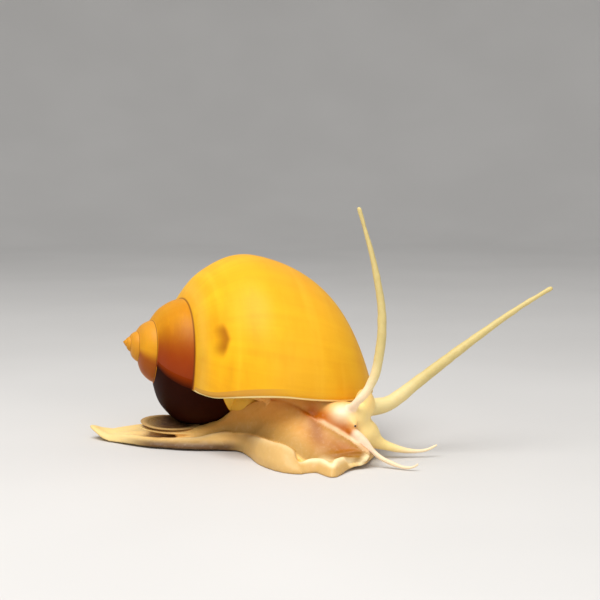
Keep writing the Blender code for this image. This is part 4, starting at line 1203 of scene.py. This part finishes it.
def make_shell():
    (points, turns, shares, inside), faces = shell_mesh()
    age = -turns
    deep = window(age, 0.70, 0.82, 1.0, 1.005)
    spire = 0.55 * window(age, 1.74, 1.9, 1.99, 2.1)
    shade = np.clip(np.interp(age, *SHADE_BAND) + spire, 0, 1)
    amber = np.maximum(np.interp(age, *AMBER_BAND), 0.3 * bell(shares, 0, 0.07) * (age < 1))
    # The pale rim is only painted on the lip itself, so walls and columella are kept behind it
    past_lip = turns - np.interp(shares, SHARE, lip_shift(SHARE)) / TURN
    behind = (inside > 0.5) & (inside < 1.5) | (shares > 0.999)
    past_lip = np.where(behind, np.minimum(past_lip, -0.0025), past_lip)
    stain = np.zeros(len(age))
    for at_age, at_share, age_reach, share_reach, strength in SHELL_STAINS:
        spot = strength * bell(age, at_age, age_reach) * bell(shares, at_share, share_reach)
        stain = np.maximum(stain, spot)
    # Points on the older whorls' sutures, where the dark line is painted: partly their own colour, partly
    # painted shade of the crease
    suture = (np.abs(shares - SHARE[SEAT]) < 1e-6) & (age > 0.999) & (inside == 0)
    band = bell(shares, 0.05, 0.03) * smooth_fall(age, 0.2, 0.6) * (age > 0)
    piece = mesh_piece("shell_form", points, faces, shell_material("shell_glaze", 0.42, 0.14),
                       {"turn": turns, "share": shares, "inside": inside, "shade": shade, "deep": deep,
                        "amber": amber, "past_lip": past_lip, "stain": stain,
                        "tan": smooth_step(age, 1.9, 2.3), "band": band, "suture": suture})
    piece.data.materials.append(shell_material("shell_dark", 0.5, 0.02))
    darkness = np.maximum(shade, deep)
    slots = [int(darkness[list(face)].mean() > DARK_FACE) for face in faces]
    piece.data.polygons.foreach_set("material_index", slots)
    return piece, points, faces


def near_route(points, name, first=0.0, last=1.0):
    """Distance to a stretch of one of the tubes, from one share of its length to another."""
    route = ROUTES[name]
    steps = len(route) - 1
    return tube_distance(points, route[int(first * steps):int(last * steps) + 1])


def apron_paint(points, height):
    """Masks on the fold of flesh and the flank: each is a share of paint from 0 to 1 at every point."""
    x, y = points[:, 0], points[:, 1]
    along, down, distance = apron_place(points)
    on_apron = smooth_fall(distance, 0.4, 0.9)
    off = 1 - on_apron
    under_shell = off * window(x, 2.8, 3.6, 14, 17) * smooth_step(height, 7.6, 8.6) * smooth_fall(y, 1, 3)
    # Wall paint thins towards the top, so the paler base shows there as painted light against the shell's
    # shadow
    wall = (on_apron * smooth_step(along, 0.02, 0.16) * smooth_fall(down, 0.94, 1.0)
            * (0.7 + 0.3 * smooth_step(down, 0.1, 0.5)))
    # painted shade in the hollow between the wall and the fold
    valley_shade = bell(along - 0.05 * down, 0.6, 0.09) * window(down, -0.2, 0.15, 0.4, 0.9)
    streak = bell(along, 0.8, 0.07) * bell(down, 0.55, 0.3)
    # painted shade in deep amber along the hollow between the fold and the head
    groove_shade = bell(np.maximum(tube_distance(points, spline(GROOVE_SHADE_LINE, 24)), 0), 0, 1.9)
    centre = bell(along, 0.8, 0.11) * bell(down, 0.38, 0.28)
    under_lip = bell(along, 0.52, 0.14) * smooth_fall(down, 0.0, 0.3)
    # painted highlights on the pleats and the fold's top edge, and the pale rounded tip of the fold
    margin = window(along, 0.66, 0.74, 0.84, 0.93) * smooth_step(down, 0.7, 0.9)
    top_edge = smooth_step(along, 0.56, 0.7) * smooth_fall(down, 0.02, 0.08)
    corner = smooth_step(along, 0.89, 0.95) * smooth_step(down, 0.1, 0.35)
    return {
        "off": off,
        "wall": np.maximum(wall, under_shell),
        # weight of the wall's darker lower colour, painted shade that grows down the sheet
        "wall_light_to_shade": on_apron * smooth_step(down, 0.35, 0.95),
        # the fold: darker, partly its own colour, partly painted shade
        "flap": on_apron * smooth_step(along, 0.62, 0.78),
        "callus": off * window(x, -3, -1, 2.8, 3.6) * smooth_step(height, 7.0, 8.0),
        # mostly painted shade in the hollow between wall and fold, with a faint streak on the fold
        "hollow_shade_and_brown": np.clip(on_apron * (0.8 * valley_shade + 0.2 * streak), 0, 1),
        # deep amber: painted shade of the hollow above the fold, plus the own colour of the fold's middle and
        # the flesh under the lip
        "orange_and_groove_shade": (groove_shade * (1 - on_apron * smooth_step(down, 0.02, 0.1))
                   + on_apron * (0.5 * centre + 0.3 * under_lip)),
        "painted_highlight_and_pale_edge": on_apron * (0.6 * (margin + 0.8 * top_edge) + 0.9 * corner),
    }


def foot_paint(points, height, off):
    """Masks: painted highlight on the foot's raised ridge, where the thin flesh is also paler, its tan sides,
    and painted shade on the low skirt of the tail.
    """
    x, y = points[:, 0], points[:, 1]
    past_ridge = FOOT.read("past_ridge", points[:, :2])
    low = smooth_fall(height - FOOT.read("top", points[:, :2]), 0.2, 0.9)
    # painted highlight along the foot's raised ridge, where the thin flesh is also paler
    crest_highlight = (bell(past_ridge, -0.1, 0.6) * off * smooth_step(x, -20, -10) * smooth_fall(y, -3, -2) * low
             * smooth_step(height, 1.2, 2.0) * (0.35 + 0.65 * smooth_step(x, 11, 13.5)))
    edge = smooth_fall(past_ridge, 0.0, 1.2) * smooth_step(x, -4, 3) * low
    tail = window(x, -24, -17, -8, -3)
    # painted shade on the side of the tail's low skirt, under its raised edge
    skirt = smooth_fall(past_ridge, -1.5, -0.3) * window(x, -27, -17, -3, 3)
    return crest_highlight, off * np.maximum(edge, 0.9 * tail), 0.95 * skirt * smooth_fall(height, 0.9, 2.4)


def make_skin(shell):
    points, quads = largest_part(*skin_mesh(shell))
    x, y, height = points.T

    def spot(centre, reach):
        return np.exp(-((points - np.array(centre)) ** 2).sum(1) / reach ** 2)

    masks = apron_paint(points, height)
    crest_highlight, foot, dark = foot_paint(points, height, masks.pop("off"))
    feelers = np.minimum(near_route(points, "tentacle_right", 0.3), near_route(points, "tentacle_left", 0.12))
    root = smooth_fall(near_route(points, "tentacle_right", 0.0, 0.42), -0.1, 0.5)
    palp = smooth_fall(near_route(points, "palp_right", 0.2), -0.1, 0.7)
    far_palp = smooth_fall(near_route(points, "palp_left", 0.3), -0.1, 0.7) * smooth_step(x, 28, 36)
    masks.update({
        "pale": np.clip(smooth_fall(feelers, -0.1, 1.0) + 0.55 * smooth_fall(x, -25, -14), 0, 1),
        # pale flesh of the near tentacle's root and the palps, and a painted highlight on the near cheek
        "pink_and_cheek_highlight": np.clip(root * smooth_fall(x, 23, 27) + 0.85 * np.maximum(palp, far_palp)
                        + 0.9 * spot((19.9, -17.0, 10.2), 1.9), 0, 1),
        "orange_and_groove_shade": np.clip(masks["orange_and_groove_shade"] + 0.15 * spot((22.5, -13.0, 6.0), 4.0)
                          + 0.3 * spot((14.5, -12.8, 11.5), 3.6)
                          + 0.35 * spot((24.5, -13.0, 13.0), 2.4), 0, 1),
        "painted_highlight_and_pale_edge": np.clip(crest_highlight + masks["painted_highlight_and_pale_edge"], 0, 1),
        # the head painted lighter towards the front, as painted light against the shade it sits in
        "face": smooth_step(x, 20.6, 23.4) * smooth_step(y, -20.2, -18.0),
        "far_out": np.maximum(smooth_step(height, 14, 24), smooth_step(x, 31, 38)),
        "foot": foot,
        "dark": dark,
    })
    return mesh_piece("body_skin", points, quads.tolist(), skin_material(), masks)


def make_operculum():
    """A thin oval horny plate with raised growth rings, lying on the tail."""
    tilt_x = np.array([math.cos(OPERCULUM_PITCH), 0, math.sin(OPERCULUM_PITCH)])
    tilt_y = np.array([0, math.cos(OPERCULUM_ROLL), math.sin(OPERCULUM_ROLL)])
    up = np.cross(tilt_x, tilt_y)
    rings, sides = 46, 120
    angles = np.linspace(0, TURN, sides, endpoint=False)
    points = []
    for face_side in (1, -1):
        for share in np.linspace(0, 1, rings + 1):
            ripple = 0.05 * math.sin(share * 60) * share * (1 - share ** 8)
            thick = OPERCULUM_THICK * math.sqrt(1 - share ** 6)
            lift = face_side * (thick + ripple) + OPERCULUM_DISH * share * share
            reach_x = OPERCULUM_HALF[0] * share * (1 + 0.02 * np.cos(angles + 0.6))
            reach_y = OPERCULUM_HALF[1] * share * (1 + 0.03 * np.sin(2 * angles))
            points.extend(OPERCULUM_CENTRE + np.multiply.outer(reach_x * np.cos(angles), tilt_x)
                          + np.multiply.outer(reach_y * np.sin(angles), tilt_y) + lift * up)
    layer = (rings + 1) * sides
    rim = list(range(rings * sides, layer))
    faces = [face[::-1] for face in ring_faces(rings, sides)] + ring_faces(rings, sides, layer)
    faces += [(a, b, b + layer, a + layer) for a, b in zip(rim, rim[1:] + rim[:1])]
    front = (np.array(points)[:, 0] - OPERCULUM_CENTRE[0]) / OPERCULUM_HALF[0]
    ring = np.tile(np.repeat(np.linspace(0, 1, rings + 1), sides), 2)
    return mesh_piece("operculum_plate", points, faces, operculum_material(), {"ring": ring, "front": front})


def make_callus():
    """Smooth golden swelling of the shell over its umbilicus, seen under the lip."""
    centre, halves = CALLUS
    side, other, pole = np.diag(halves)
    return mesh_piece("parietal_callus", *ball(centre, pole, side, other, 40, 64), callus_material())


def make_eye(name, route, radius, material):
    """A small dark ball on the end of its stalk."""
    tip, before = route[-1, :3], route[-4, :3]
    along = (tip - before) / np.linalg.norm(tip - before)
    side = np.cross(along, (0, 0, 1.0))
    side /= np.linalg.norm(side)
    centre = tip + along * (route[-1, 3] - EYE_SUNK * radius)
    points, faces = ball(centre, radius * along, radius * side, radius * np.cross(along, side), 20, 32)
    return mesh_piece(name, points, faces, material)


def add_area(name, place, target, size, power):
    data = bpy.data.lights.new(name, "AREA")
    data.shape = "RECTANGLE"
    data.size, data.size_y = size[0] * MM, size[1] * MM
    data.energy = power
    lamp = bpy.data.objects.new(name, data)
    bpy.context.scene.collection.objects.link(lamp)
    lamp.location = np.array(place) * MM
    direction = np.array(target, float) - np.array(place, float)
    lamp.rotation_euler = Vector(direction).to_track_quat("-Z", "Y").to_euler()


def make_camera():
    data = bpy.data.cameras.new("camera")
    data.sensor_width = SENSOR
    data.lens = FOCAL_PIXELS / PHOTO_PIXELS * SENSOR
    data.clip_start, data.clip_end = 0.01, 10
    camera = bpy.data.objects.new("camera", data)
    bpy.context.scene.collection.objects.link(camera)
    look = np.array([0, math.cos(CAMERA_DROP), -math.sin(CAMERA_DROP)])
    camera.location = (CAMERA_TARGET - CAMERA_DISTANCE * look) * MM
    camera.rotation_euler = (math.pi / 2 - CAMERA_DROP, 0, 0)
    bpy.context.scene.camera = camera


def make_lights():
    add_area("key_light", (-90, -170, 380), (0, 0, 15), (300, 300), 1.95)
    add_area("fill_light", (200, -340, 140), (10, 0, 10), (420, 260), 0.38)
    world = bpy.data.worlds.new("studio")
    world.use_nodes = True
    world.node_tree.nodes["Background"].inputs["Color"].default_value = (0.95, 0.97, 1, 1)
    world.node_tree.nodes["Background"].inputs["Strength"].default_value = 0.5
    bpy.context.scene.world = world
    bpy.context.scene.view_settings.view_transform = "Standard"


def make_floor():
    """Flat round whose outer half turns up into a bowl."""
    half, sides = 24, 96
    flat = [(BOWL_FLAT * k / half, 0.0) for k in range(1, half + 1)]
    leans = [math.pi / 2 * k / half for k in range(1, half + 1)]
    bowl = [(BOWL_FLAT + BOWL_CURVE * math.sin(lean), BOWL_CURVE * (1 - math.cos(lean))) for lean in leans]
    angles = np.linspace(0, TURN, sides, endpoint=False)
    points = [(0.0, 0.0, 0.0)]
    for reach, rise in flat + bowl:
        points += [(reach * math.cos(a), reach * math.sin(a), rise) for a in angles]
    faces = [(0, 1 + j, 1 + (j + 1) % sides) for j in range(sides)] + ring_faces(2 * half - 1, sides, 1)
    floor = mesh_piece("floor", points, faces, floor_material())
    floor.location.z = -FLOOR_DROP * MM


TENTACLE_NODES = tuple(f"tentacle_{side}_{part}" for side in ("right", "left")
                       for part in ("base", "middle", "tip"))
FLESH_NODES = ("mantle", "foot_tail", "foot_middle", "foot_front", "neck", "head", *TENTACLE_NODES,
               "palp_right", "palp_left", "eye_stalk_right", "eye_stalk_left", "siphon")

make_camera()
make_lights()
make_floor()
shell_piece, shell_xyz, shell_faces = make_shell()
skin_piece = make_skin(MeshField(shell_xyz, shell_faces))
operculum_piece = make_operculum()
callus_piece = make_callus()
eye_looks = eye_material()
eye_pieces = [make_eye("eye_ball_" + side, ROUTES["stalk_" + side], EYE_RADII[side], eye_looks)
              for side in ("right", "left")]

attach(callus_piece, "root")
for piece, slot_name, nodes in (
        (shell_piece, "shell", ("shell",)), (skin_piece, "flesh", FLESH_NODES),
        (operculum_piece, "operculum", ("operculum",)),
        (eye_pieces[0], "eye", ("eye_right",)), (eye_pieces[1], "eye", ("eye_left",))):
    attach(piece, "root")
    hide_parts(*nodes)
